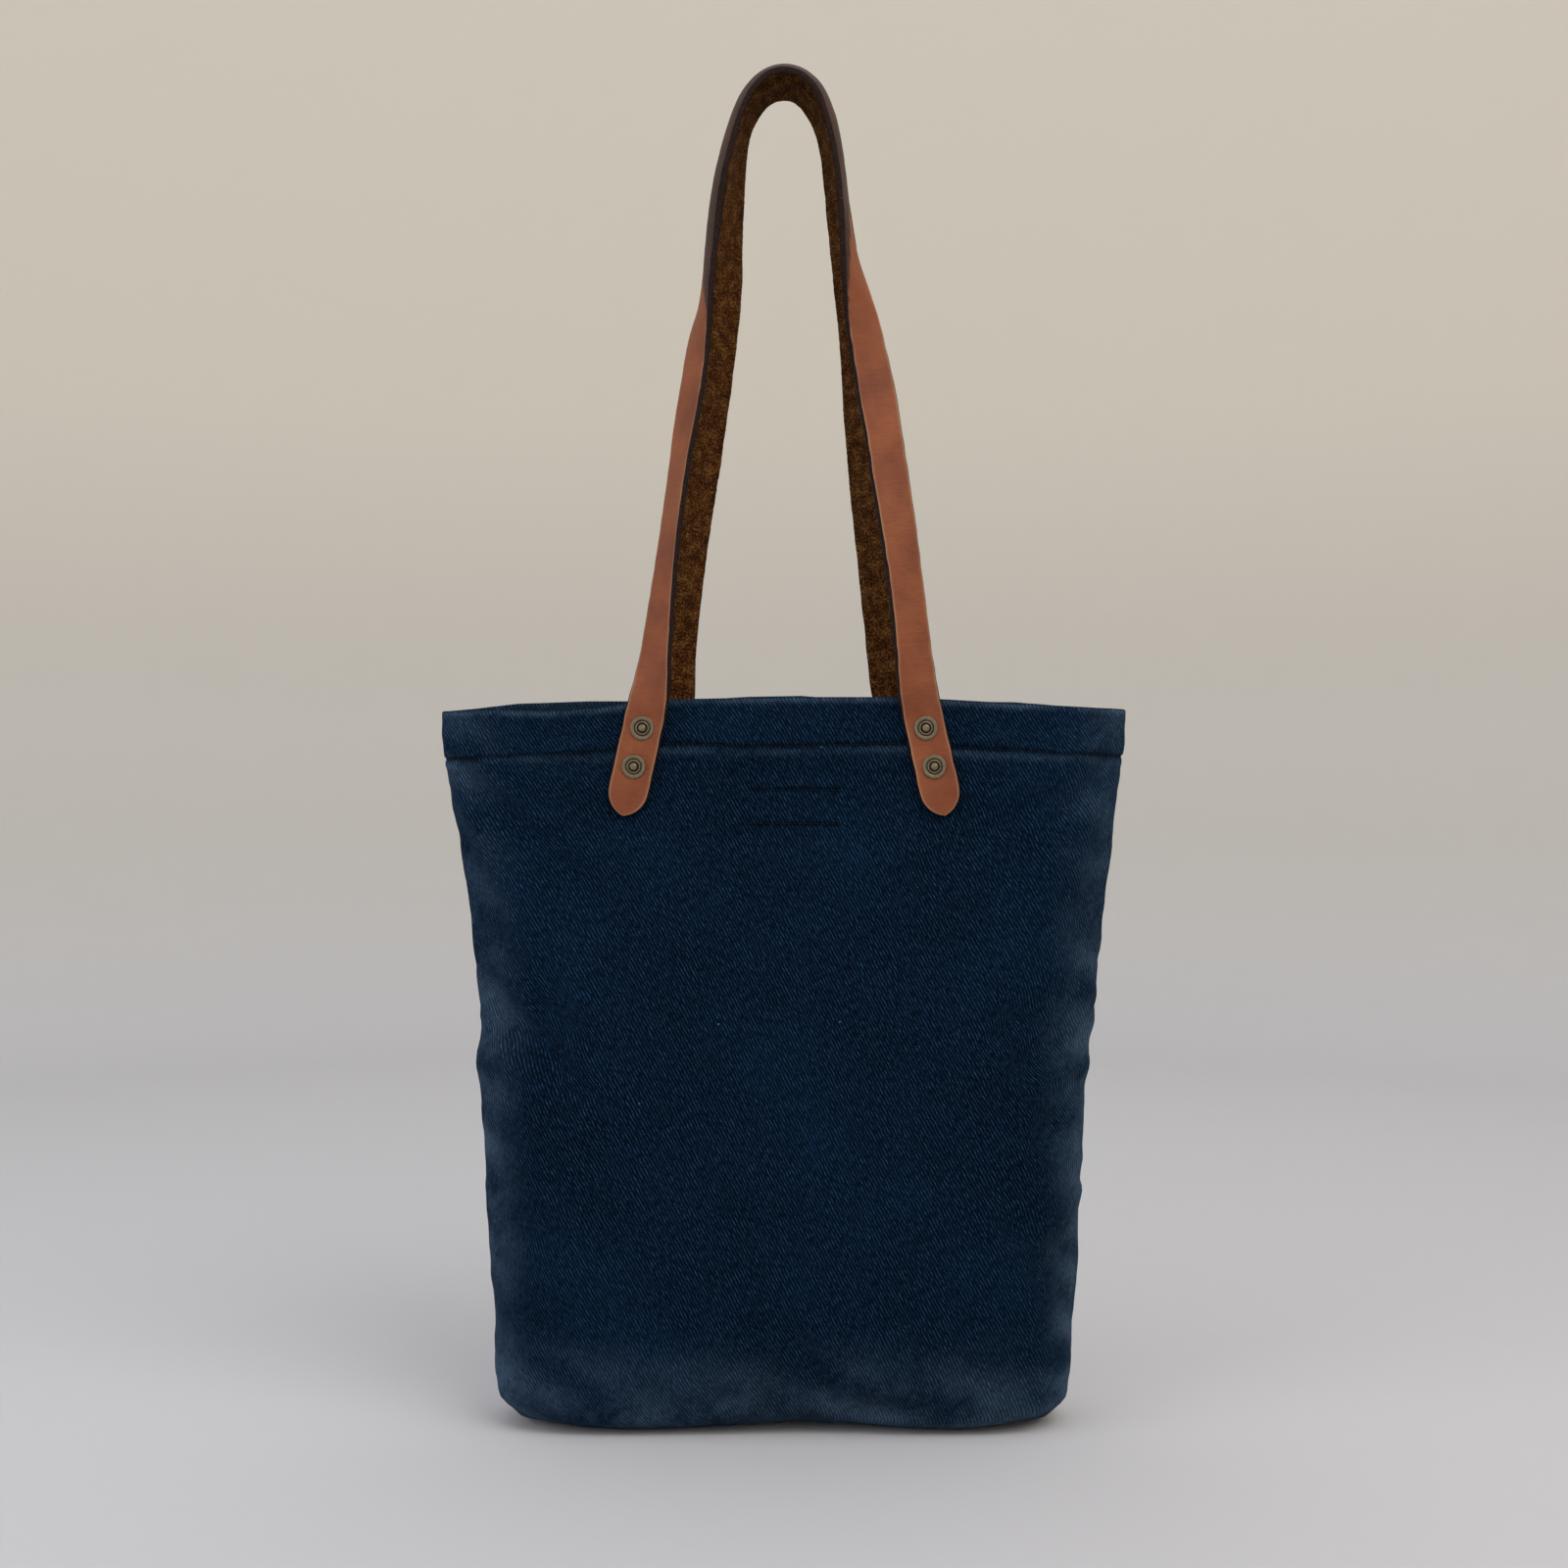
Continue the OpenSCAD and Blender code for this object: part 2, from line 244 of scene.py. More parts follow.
def add_node(tree: bpy.types.NodeTree, kind: str, settings: dict | None = None,
             out: int | str = 0) -> bpy.types.NodeSocket | None:
    """Adds a node with its settings and its links.

    Args:
        tree: Node tree to add to.
        kind: Node type's name.
        settings: Values by property name, or by input name or number. A socket is linked to that input,
            a hex colour is made linear, and "stops" are the positions and colours of a ramp.
        out: Name or number of the output that is wanted.

    Returns:
        That output, or None for a node without outputs.
    """
    node = tree.nodes.new(kind)
    for key, value in (settings or {}).items():
        if key == "stops":
            for i, (position, code) in enumerate(value):
                stop = node.color_ramp.elements[i] if i < 2 else node.color_ramp.elements.new(position)
                stop.position = position
                stop.color = linear(code)
        elif isinstance(value, bpy.types.NodeSocket):
            tree.links.new(value, node.inputs[key])
        elif isinstance(key, str) and hasattr(node, key):
            setattr(node, key, value)
        else:
            is_color = isinstance(value, str) and value.startswith("#")
            node.inputs[key].default_value = linear(value) if is_color else value
    return node.outputs[out] if len(node.outputs) else None


def new_material(name: str,
                 **shader: object) -> tuple[bpy.types.Material, bpy.types.NodeTree, bpy.types.Node]:
    """Makes a material whose Principled shader has the given constant inputs.

    Args:
        name: Name of the material.
        **shader: Constant inputs, with spaces in their names as underscores, and colours in hex.

    Returns:
        The material, its tree and its Principled node.
    """
    material = bpy.data.materials.new(name)
    material.use_nodes = True
    tree = material.node_tree
    principled = next(n for n in tree.nodes if n.type == "BSDF_PRINCIPLED")
    for key, value in shader.items():
        constant = linear(value) if isinstance(value, str) else value
        principled.inputs[key.replace("_", " ")].default_value = constant
    return material, tree, principled


def finish_surface(tree: bpy.types.NodeTree, principled: bpy.types.Node, color: bpy.types.NodeSocket,
                   height: bpy.types.NodeSocket, depth: float,
                   roughness: bpy.types.NodeSocket | None = None) -> None:
    """Joins colour, relief and, where it varies, roughness to a shader.

    Args:
        tree: The material's tree.
        principled: Its Principled node.
        color: The surface's colour.
        height: Its relief, from 0 to about 1.
        depth: Depth of a relief of 1, in metres.
        roughness: Its roughness, or None where that is the same all over.
    """
    tree.links.new(color, principled.inputs["Base Color"])
    relief = add_node(tree, "ShaderNodeBump", {"Strength": 1.0, "Distance": depth, "Height": height})
    tree.links.new(relief, principled.inputs["Normal"])
    if roughness is not None:
        tree.links.new(roughness, principled.inputs["Roughness"])


@dataclass(frozen=True)
class TwillFinish:
    """Washed cotton twill, piece-dyed navy: steep ridges, matt, paler where rubbed, with painted sheen at the
    sides and painted shade in stitch grooves.
    """

    name: str = "washed_cotton_twill"
    deep: str = "#010813"
    dyed: str = "#020e1c"
    cloudy: str = "#041528"
    pale: str = "#355f8c"
    # Pale colour of rubbed cloth, also laid on the sides as a painted sheen
    rubbed: str = "#4a6076"
    # Painted shade for the grooves of the stitch rows
    hidden: str = "#01040a"
    nap: str = "#6080a4"
    lint: str = "#8b97a0"
    # Ridges of a heavy cotton twill are 1.15 mm apart; they are drawn at 1.75 mm so that they show
    ridge: float = 1.75 * MM
    # The ridges climb steeply, from lower right to upper left
    steepness: float = math.radians(61)
    relief: float = 0.22 * MM

    def build(self) -> bpy.types.Material:
        """Makes the material; it reads the cloth's own UV map, in metres.

        Returns:
            The twill material.
        """
        material, tree, shader = new_material(self.name, Roughness=0.95, Specular_IOR_Level=0.04,
                                              Sheen_Weight=0.07, Sheen_Roughness=0.45, Sheen_Tint=self.nap)
        place = add_node(tree, UV_MAP, {"uv_map": "UVMap"})
        # A slow wobble of up to 0.9 mm keeps the ridges from running as straight as print
        wobble = add_node(tree, NOISE, {"Scale": 260.0, "Detail": 2.0, "Vector": place}, "Color")
        shifted = add_node(tree, "ShaderNodeVectorMath",
                           {"operation": "MULTIPLY_ADD", 0: wobble, 1: (0.9 * MM,) * 3, 2: place})
        turned = add_node(tree, "ShaderNodeMapping",
                          {"Rotation": (0.0, 0.0, self.steepness), "Vector": shifted})
        over = add_node(tree, "ShaderNodeSeparateXYZ", {0: turned}, "Y")
        phase = add_node(tree, MATH, {"operation": "MULTIPLY", 0: over, 1: 2 * math.pi / self.ridge})
        swing = add_node(tree, MATH, {"operation": "SINE", 0: phase})
        ridge = add_node(tree, MATH, {"operation": "MULTIPLY_ADD", 0: swing, 1: 0.5, 2: 0.5})
        # Each ridge is a row of short floats of yarn, about 3 mm long and 0.7 mm across
        stretched = add_node(tree, "ShaderNodeMapping", {"Scale": (300.0, 1500.0, 1.0), "Vector": turned})
        yarn = add_node(tree, NOISE, {"Scale": 1.0, "Detail": 2.0, "Roughness": 0.6, "Vector": stretched})
        floats = add_node(tree, MATH, {"operation": "MULTIPLY_ADD", "use_clamp": True,
                                       0: yarn, 1: 3.0, 2: -1.0})
        lively = add_node(tree, MATH, {"operation": "MULTIPLY", 0: ridge, 1: floats})
        fuzz = add_node(tree, NOISE, {"Scale": 900.0, "Detail": 3.0, "Roughness": 0.7, "Vector": place})
        height = add_node(tree, MATH, {"operation": "MULTIPLY_ADD", 0: fuzz, 1: 0.35, 2: lively})
        # Washing leaves soft clouds of paler blue, and the tops of the ridges are lighter
        cloud = add_node(tree, NOISE, {"Scale": 9.0, "Detail": 5.0, "Roughness": 0.62, "Vector": place})
        faded = add_node(tree, RAMP, {"Fac": cloud,
                                      "stops": [(0.36, self.deep), (0.52, self.dyed), (0.72, self.cloudy)]})
        sharp = add_node(tree, MATH, {"operation": "POWER", 0: lively, 1: 1.7})
        uneven = add_node(tree, MATH, {"operation": "MULTIPLY", 0: fuzz, 1: 0.95})
        tops = add_node(tree, MATH, {"operation": "MULTIPLY", "use_clamp": True, 0: sharp, 1: uneven})
        color = add_node(tree, MIX, {"data_type": "RGBA", 0: tops, 6: faded, 7: self.pale}, 2)
        # Rubbing takes the dye off what stands highest; along the sides the same pale colour is a painted
        # sheen
        wear = add_node(tree, ATTRIBUTE, {"attribute_name": "wear"}, "Fac")
        raised = add_node(tree, MATH, {"operation": "ADD", 0: lively, 1: 0.35})
        worn_and_sheen = add_node(tree, MATH, {"operation": "MULTIPLY", "use_clamp": True, 0: wear, 1: raised})
        color = add_node(tree, MIX, {"data_type": "RGBA", 0: worn_and_sheen, 6: color, 7: self.rubbed}, 2)
        # Along stitches the cloth is pressed into a groove, which is darkened with painted shade
        groove = add_node(tree, ATTRIBUTE, {"attribute_name": "pressed"}, "Fac")
        color = add_node(tree, MIX, {"data_type": "RGBA", 0: groove, 6: color, 7: self.hidden}, 2)
        # A few specks of pale lint cling to the nap
        cell = add_node(tree, "ShaderNodeTexVoronoi", {"Scale": 42.0, "Vector": place}, "Distance")
        speck = add_node(tree, MATH, {"operation": "LESS_THAN", 0: cell, 1: 0.016})
        cling = add_node(tree, MATH, {"operation": "MULTIPLY", 0: speck, 1: 0.6})
        color = add_node(tree, MIX, {"data_type": "RGBA", 0: cling, 6: color, 7: self.lint}, 2)
        finish_surface(tree, shader, color, height, self.relief)
        return material


@dataclass(frozen=True)
class GrainFinish:
    """Vegetable-tanned cowhide, grain side out: satin, finely pored, darkened by hands."""

    name: str = "vegetable_tanned_leather_grain"
    light: str = "#985632"
    middle: str = "#8a4a2b"
    dark: str = "#783d22"
    grained: str = "#5a3222"
    # Pale line along the edges: rubbed grain and a painted highlight
    rubbed: str = "#a98468"
    handled: tuple = ((0.38, "#22120f"), (0.52, "#331d17"), (0.66, "#64412d"))
    creased: tuple = ((0.40, "#8a8a8a"), (0.50, "#ffffff"), (0.62, "#e0e0e0"))
    pore: float = 0.5 * MM
    relief: float = 0.25 * MM

    def build(self) -> bpy.types.Material:
        """Makes the material; UV is across and along the strap in metres.

        Returns:
            The grain leather material.
        """
        material, tree, shader = new_material(self.name, Roughness=0.55, Specular_IOR_Level=0.28)
        place = add_node(tree, UV_MAP, {"uv_map": "UVMap"})
        pores = add_node(tree, "ShaderNodeTexVoronoi",
                         {"Scale": 1 / self.pore, "feature": "DISTANCE_TO_EDGE", "Vector": place}, "Distance")
        fine = add_node(tree, NOISE, {"Scale": 1400.0, "Detail": 4.0, "Vector": place})
        # Creases run across the strap where it has bent
        stretched = add_node(tree, "ShaderNodeMapping", {"Scale": (110.0, 700.0, 1.0), "Vector": place})
        crease = add_node(tree, NOISE, {"Scale": 1.0, "Detail": 4.0, "Roughness": 0.65, "Vector": stretched})
        blotch = add_node(tree, NOISE, {"Scale": 38.0, "Detail": 4.0, "Vector": place})
        tone = add_node(tree, RAMP, {"Fac": blotch,
                                     "stops": [(0.32, self.dark), (0.5, self.middle), (0.7, self.light)]})
        grained = add_node(tree, MATH, {"operation": "MULTIPLY", 0: fine, 1: 0.22})
        color = add_node(tree, MIX, {"data_type": "RGBA", 0: grained, 6: tone, 7: self.grained}, 2)
        lines = add_node(tree, RAMP, {"Fac": crease, "stops": self.creased})
        color = add_node(tree, MIX, {"data_type": "RGBA", "blend_type": "MULTIPLY",
                                     0: 0.16, 6: color, 7: lines}, 2)
        # A thin pale line along the cut edges: rubbed grain, and a painted highlight on the arris
        edge = add_node(tree, ATTRIBUTE, {"attribute_name": "rub"}, "Fac")
        patchy = add_node(tree, MATH, {"operation": "MULTIPLY", 0: blotch, 1: 1.5})
        rubbed = add_node(tree, MATH, {"operation": "MULTIPLY", "use_clamp": True, 0: edge, 1: patchy})
        color = add_node(tree, MIX, {"data_type": "RGBA", 0: rubbed, 6: color, 7: self.rubbed}, 2)
        # Hands have left a dark patina with a ragged edge
        patina = add_node(tree, ATTRIBUTE, {"attribute_name": "patina"}, "Fac")
        ragged = add_node(tree, MATH, {"operation": "MULTIPLY_ADD", 0: blotch, 1: 0.7, 2: -0.35})
        handled = add_node(tree, MATH, {"operation": "MULTIPLY_ADD", "use_clamp": True,
                                        0: ragged, 1: patina, 2: patina})
        dark = add_node(tree, RAMP, {"Fac": fine, "stops": self.handled})
        color = add_node(tree, MIX, {"data_type": "RGBA", 0: handled, 6: color, 7: dark}, 2)
        height = add_node(tree, MATH, {"operation": "MULTIPLY_ADD", 0: fine, 1: 0.5, 2: crease})
        height = add_node(tree, MATH, {"operation": "MULTIPLY_ADD", 0: pores, 1: 0.5, 2: height})
        rough = add_node(tree, MATH, {"operation": "MULTIPLY_ADD", 0: blotch, 1: 0.25, 2: 0.40})
        finish_surface(tree, shader, color, height, self.relief, rough)
        return material


@dataclass(frozen=True)
class FleshFinish:
    """Flesh side of the hide, left rough: matt, olive-brown, a short nap with pale fibres."""

    name: str = "leather_flesh_side_nap"
    dark: str = "#1f0f06"
    middle: str = "#41220d"
    light: str = "#76532b"
    nap: str = "#a07a4c"
    relief: float = 0.9 * MM

    def build(self) -> bpy.types.Material:
        """Makes the material; UV is across and along the strap in metres.

        Returns:
            The flesh side material.
        """
        material, tree, shader = new_material(self.name, Roughness=1.0, Specular_IOR_Level=0.05,
                                              Sheen_Weight=0.25, Sheen_Roughness=0.5, Sheen_Tint=self.nap)
        place = add_node(tree, UV_MAP, {"uv_map": "UVMap"})
        nap = add_node(tree, NOISE, {"Scale": 800.0, "Detail": 4.0, "Roughness": 0.7, "Vector": place})
        clump = add_node(tree, NOISE, {"Scale": 160.0, "Detail": 3.0, "Vector": place})
        clumped = add_node(tree, MATH, {"operation": "MULTIPLY", 0: clump, 1: 0.3})
        mixed = add_node(tree, MATH, {"operation": "MULTIPLY_ADD", 0: nap, 1: 0.7, 2: clumped})
        color = add_node(tree, RAMP, {"Fac": mixed,
                                      "stops": [(0.41, self.dark), (0.5, self.middle), (0.60, self.light)]})
        finish_surface(tree, shader, color, mixed, self.relief)
        return material


@dataclass(frozen=True)
class EdgeFinish:
    """Cut edge of the strap, dyed and burnished: nearly black, with a soft gloss on its round."""

    name: str = "burnished_leather_edge"
    dark: str = "#0f0705"
    light: str = "#2c1a14"
    fibre: str = "#5a3b26"
    relief: float = 0.5 * MM

    def build(self) -> bpy.types.Material:
        """Makes the material.

        Returns:
            The edge material.
        """
        material, tree, shader = new_material(self.name, Roughness=0.7, Specular_IOR_Level=0.15)
        place = add_node(tree, UV_MAP, {"uv_map": "UVMap"})
        grain = add_node(tree, NOISE, {"Scale": 700.0, "Detail": 5.0, "Roughness": 0.7, "Vector": place})
        color = add_node(tree, RAMP, {"Fac": grain,
                                      "stops": [(0.4, self.dark), (0.6, self.light), (0.72, self.fibre)]})
        finish_surface(tree, shader, color, grain, self.relief)
        return material


@dataclass(frozen=True)
class BrassFinish:
    """Pressed brass, chemically aged: dull grey-brown in the hollows, rubbed bright on the rings."""

    name: str = "antiqued_pressed_brass"
    hollow: str = "#17120d"
    face: str = "#4d4335"
    rubbed: str = "#857962"
    relief: float = 0.12 * MM

    def build(self) -> bpy.types.Material:
        """Makes the material; the attribute "high" is 1 on what stands proud.

        Returns:
            The brass material.
        """
        material, tree, shader = new_material(self.name, Metallic=0.85, Roughness=0.45)
        place = add_node(tree, "ShaderNodeTexCoord", {}, "Object")
        tarnish = add_node(tree, NOISE, {"Scale": 900.0, "Detail": 5.0, "Roughness": 0.7, "Vector": place})
        high = add_node(tree, ATTRIBUTE, {"attribute_name": "high"}, "Fac")
        rings = add_node(tree, MATH, {"operation": "MULTIPLY", 0: high, 1: 0.5})
        level = add_node(tree, MATH, {"operation": "MULTIPLY_ADD", "use_clamp": True,
                                      0: tarnish, 1: 0.8, 2: rings})
        color = add_node(tree, RAMP, {"Fac": level,
                                      "stops": [(0.22, self.hollow), (0.55, self.face), (0.95, self.rubbed)]})
        rough = add_node(tree, MATH, {"operation": "MULTIPLY_ADD", 0: level, 1: -0.35, 2: 0.75})
        finish_surface(tree, shader, color, tarnish, self.relief, rough)
        return material


@dataclass(frozen=True)
class ThreadFinish:
    """Spun polyester sewing thread or a loose fibre of leather: matt, unevenly shaded."""

    name: str
    color: str
    shade: str = "#05080c"
    relief: float = 0.1 * MM

    def build(self) -> bpy.types.Material:
        """Makes the material.

        Returns:
            The thread material.
        """
        material, tree, shader = new_material(self.name, Roughness=0.85, Specular_IOR_Level=0.2)
        place = add_node(tree, "ShaderNodeTexCoord", {}, "Object")
        fibre = add_node(tree, NOISE, {"Scale": 2500.0, "Detail": 2.0, "Vector": place})
        shaded = add_node(tree, MATH, {"operation": "MULTIPLY", 0: fibre, 1: 0.5})
        color = add_node(tree, MIX, {"data_type": "RGBA", 0: shaded, 6: self.color, 7: self.shade}, 2)
        finish_surface(tree, shader, color, fibre, self.relief)
        return material


@dataclass(frozen=True)
class LabelFinish:
    """Blank woven cotton tape, natural colour: a fine plain weave, matt."""

    name: str = "plain_woven_cotton_tape"
    warp: str = "#b9b29c"
    weft: str = "#8f8874"
    thread: float = 0.5 * MM
    relief: float = 0.1 * MM

    def build(self) -> bpy.types.Material:
        """Makes the material.

        Returns:
            The tape material.
        """
        material, tree, shader = new_material(self.name, Roughness=0.9, Specular_IOR_Level=0.15)
        place = add_node(tree, UV_MAP, {"uv_map": "UVMap"})
        weave = add_node(tree, "ShaderNodeTexChecker", {"Scale": 1 / self.thread, "Vector": place}, "Fac")
        color = add_node(tree, MIX, {"data_type": "RGBA", 0: weave, 6: self.warp, 7: self.weft}, 2)
        finish_surface(tree, shader, color, weave, self.relief)
        return material


# ---- What repeats ----


def instancer(name: str, on_curve: bool) -> tuple[bpy.types.NodeTree, dict]:
    """Builds a Geometry Nodes tree that sets a template on points or along curves.

    Args:
        name: Name of the tree.
        on_curve: True to space the copies along the mesh's edges, False for one at each vertex.

    Returns:
        The tree and its inputs' identifiers by name.
    """
    tree = bpy.data.node_groups.new(name, "GeometryNodeTree")
    face = tree.interface
    face.new_socket("Geometry", in_out="OUTPUT", socket_type="NodeSocketGeometry")
    face.new_socket("Geometry", in_out="INPUT", socket_type="NodeSocketGeometry")
    kinds = {"Template": "NodeSocketObject", "Material": "NodeSocketMaterial", "Pitch": "NodeSocketFloat",
             "Tilt": "NodeSocketFloat", "Uneven": "NodeSocketFloat", "Seed": "NodeSocketInt"}
    ids = {key: face.new_socket(key, in_out="INPUT", socket_type=kind).identifier
           for key, kind in kinds.items()}
    points = add_node(tree, "NodeGroupInput")
    given = points.node.outputs
    template = add_node(tree, "GeometryNodeObjectInfo",
                        {"transform_space": "ORIGINAL", "Object": given["Template"]}, "Geometry")
    if on_curve:
        curve = add_node(tree, "GeometryNodeMeshToCurve", {0: points})
        points = add_node(tree, "GeometryNodeResampleCurve",
                          {"mode": "LENGTH", "Curve": curve, "Length": given["Pitch"]})
        way = add_node(tree, "GeometryNodeInputTangent")
    else:
        way = add_node(tree, "GeometryNodeInputNamedAttribute",
                       {"data_type": "FLOAT_VECTOR", "Name": "way"})
    facing = add_node(tree, "GeometryNodeInputNamedAttribute",
                      {"data_type": "FLOAT_VECTOR", "Name": "facing"})
    aim = add_node(tree, "FunctionNodeAxesToRotation",
                   {"primary_axis": "Z", "secondary_axis": "X", 0: facing, 1: way})
    spread = add_node(tree, MATH, {"operation": "MULTIPLY", 0: given["Tilt"], 1: -1.0})
    low, high = (add_node(tree, "ShaderNodeCombineXYZ", dict.fromkeys(range(3), most))
                 for most in (spread, given["Tilt"]))
    jitter = add_node(tree, "FunctionNodeRandomValue",
                      {"data_type": "FLOAT_VECTOR", 0: low, 1: high, "Seed": given["Seed"]})
    nudge = add_node(tree, "FunctionNodeEulerToRotation", {0: jitter})
    turn = add_node(tree, "FunctionNodeRotateRotation", {"rotation_space": "LOCAL", 0: aim, 1: nudge})
    small = add_node(tree, MATH, {"operation": "SUBTRACT", 0: 1.0, 1: given["Uneven"]})
    size = add_node(tree, "FunctionNodeRandomValue",
                    {"data_type": "FLOAT", 2: small, 3: 1.0, "Seed": given["Seed"]}, 1)
    placed = add_node(tree, "GeometryNodeInstanceOnPoints",
                      {"Points": points, "Instance": template, "Rotation": turn, "Scale": size})
    real = add_node(tree, "GeometryNodeRealizeInstances", {0: placed})
    dressed = add_node(tree, "GeometryNodeSetMaterial", {"Geometry": real, "Material": given["Material"]})
    add_node(tree, "NodeGroupOutput", {0: dressed})
    return tree, ids


@dataclass
class Repeater:
    """Sets copies of one small shape on points or along lines, and makes them one plain mesh."""

    trees: dict = field(default_factory=dict)

    def build(self, name: str, points: np.ndarray, facing: np.ndarray, template: bpy.types.Object,
              material: bpy.types.Material, way: np.ndarray | None = None, lines: list | None = None,
              pitch: float = 3.0 * MM, tilt: float = 0.0, uneven: float = 0.0,
              seed: int = 1) -> bpy.types.Object:
        """Makes one mesh of all the copies.

        Args:
            name: Name of the piece.
            points: Places, or the points of the lines.
            facing: Direction in which each copy's Z points.
            template: Small object that is copied; it is deleted afterwards.
            material: Finish of the copies.
            way: Direction of each copy's X, where there are no lines.
            lines: Pairs of point indices that the copies follow.
            pitch: Spacing along the lines in metres.
            tilt: Largest random turn of a copy in radians.
            uneven: Share by which a copy may be smaller.
            seed: Seed of the random turns and sizes.

        Returns:
            The finished piece.
        """
        mesh = bpy.data.meshes.new(name)
        mesh.from_pydata([tuple(p) for p in points], lines or [], [])
        for key, vectors in (("facing", facing), ("way", way)):
            if vectors is not None:
                layer = mesh.attributes.new(key, "FLOAT_VECTOR", "POINT")
                layer.data.foreach_set("vector", np.asarray(vectors, np.float32).ravel())
        piece = bpy.data.objects.new(name, mesh)
        bpy.context.collection.objects.link(piece)
        on_curve = lines is not None
        if on_curve not in self.trees:
            self.trees[on_curve] = instancer("along_a_line" if on_curve else "on_points", on_curve)
        tree, ids = self.trees[on_curve]
        modifier = piece.modifiers.new("copies", "NODES")
        modifier.node_group = tree
        values = {"Template": template, "Material": material, "Pitch": pitch, "Tilt": tilt,
                  "Uneven": uneven, "Seed": seed}
        for key, value in values.items():
            modifier[ids[key]] = value
        apply_modifiers(piece)
        bpy.data.objects.remove(template)
        return piece


def capsule(length: float, radius: float, sag: float = 0.0, sides: int = 6) -> bpy.types.Object:
    """A short round stitch or fibre along X with rounded ends, which may dip.

    Args:
        length: Length in metres.
        radius: Radius in metres.
        sag: How far the ends dip towards -Z.
        sides: Sides of its section.

    Returns:
        The template object.
    """
    stations = [(-1.0, 0.25), (-0.9, 0.75), (-0.6, 1.0), (0.0, 1.0), (0.6, 1.0), (0.9, 0.75), (1.0, 0.25)]
    points = [(s * length / 2, math.cos(2 * math.pi * j / sides) * r * radius,
               math.sin(2 * math.pi * j / sides) * r * radius - sag * s ** 4)
              for s, r in stations for j in range(sides)]
    faces = [*grid_faces(len(stations), sides, closed=True), *end_faces(len(stations), sides)]
    piece = make_object("stitch_template", np.array(points), faces)
    outward(piece)
    return piece


def lathe(name: str, profile: list, knurled: tuple = (0.0, 0.0), tooth: float = 0.12 * MM,
          turns: int = 48) -> bpy.types.Object:
    """Spins (radius, height) points about Z into a closed solid, and marks what stands proud.

    Args:
        name: Name of the object.
        profile: Points from the bottom's middle to the top's middle.
        knurled: Radii between which the upper face has fine radial teeth.
        tooth: Depth of the teeth.
        turns: Sides round the axis.

    Returns:
        The object, with the attribute "high".
    """
    angles = [2 * math.pi * j / turns for j in range(turns)]
    points = [(r * math.cos(a), r * math.sin(a),
               z - tooth * (j % 2) * (z > 0 and knurled[0] < r < knurled[1]))
              for r, z in profile for j, a in enumerate(angles)]
    faces = [*grid_faces(len(profile), turns, closed=True), *end_faces(len(profile), turns)]
    piece = make_object(name, np.array(points), faces)
    outward(piece)
    heights = np.array([z for _, z in profile for _ in angles]) / max(z for _, z in profile)
    paint(piece, "high", np.clip((heights - 0.35) / 0.6, 0, 1))
    return piece


# ---- Studio ----


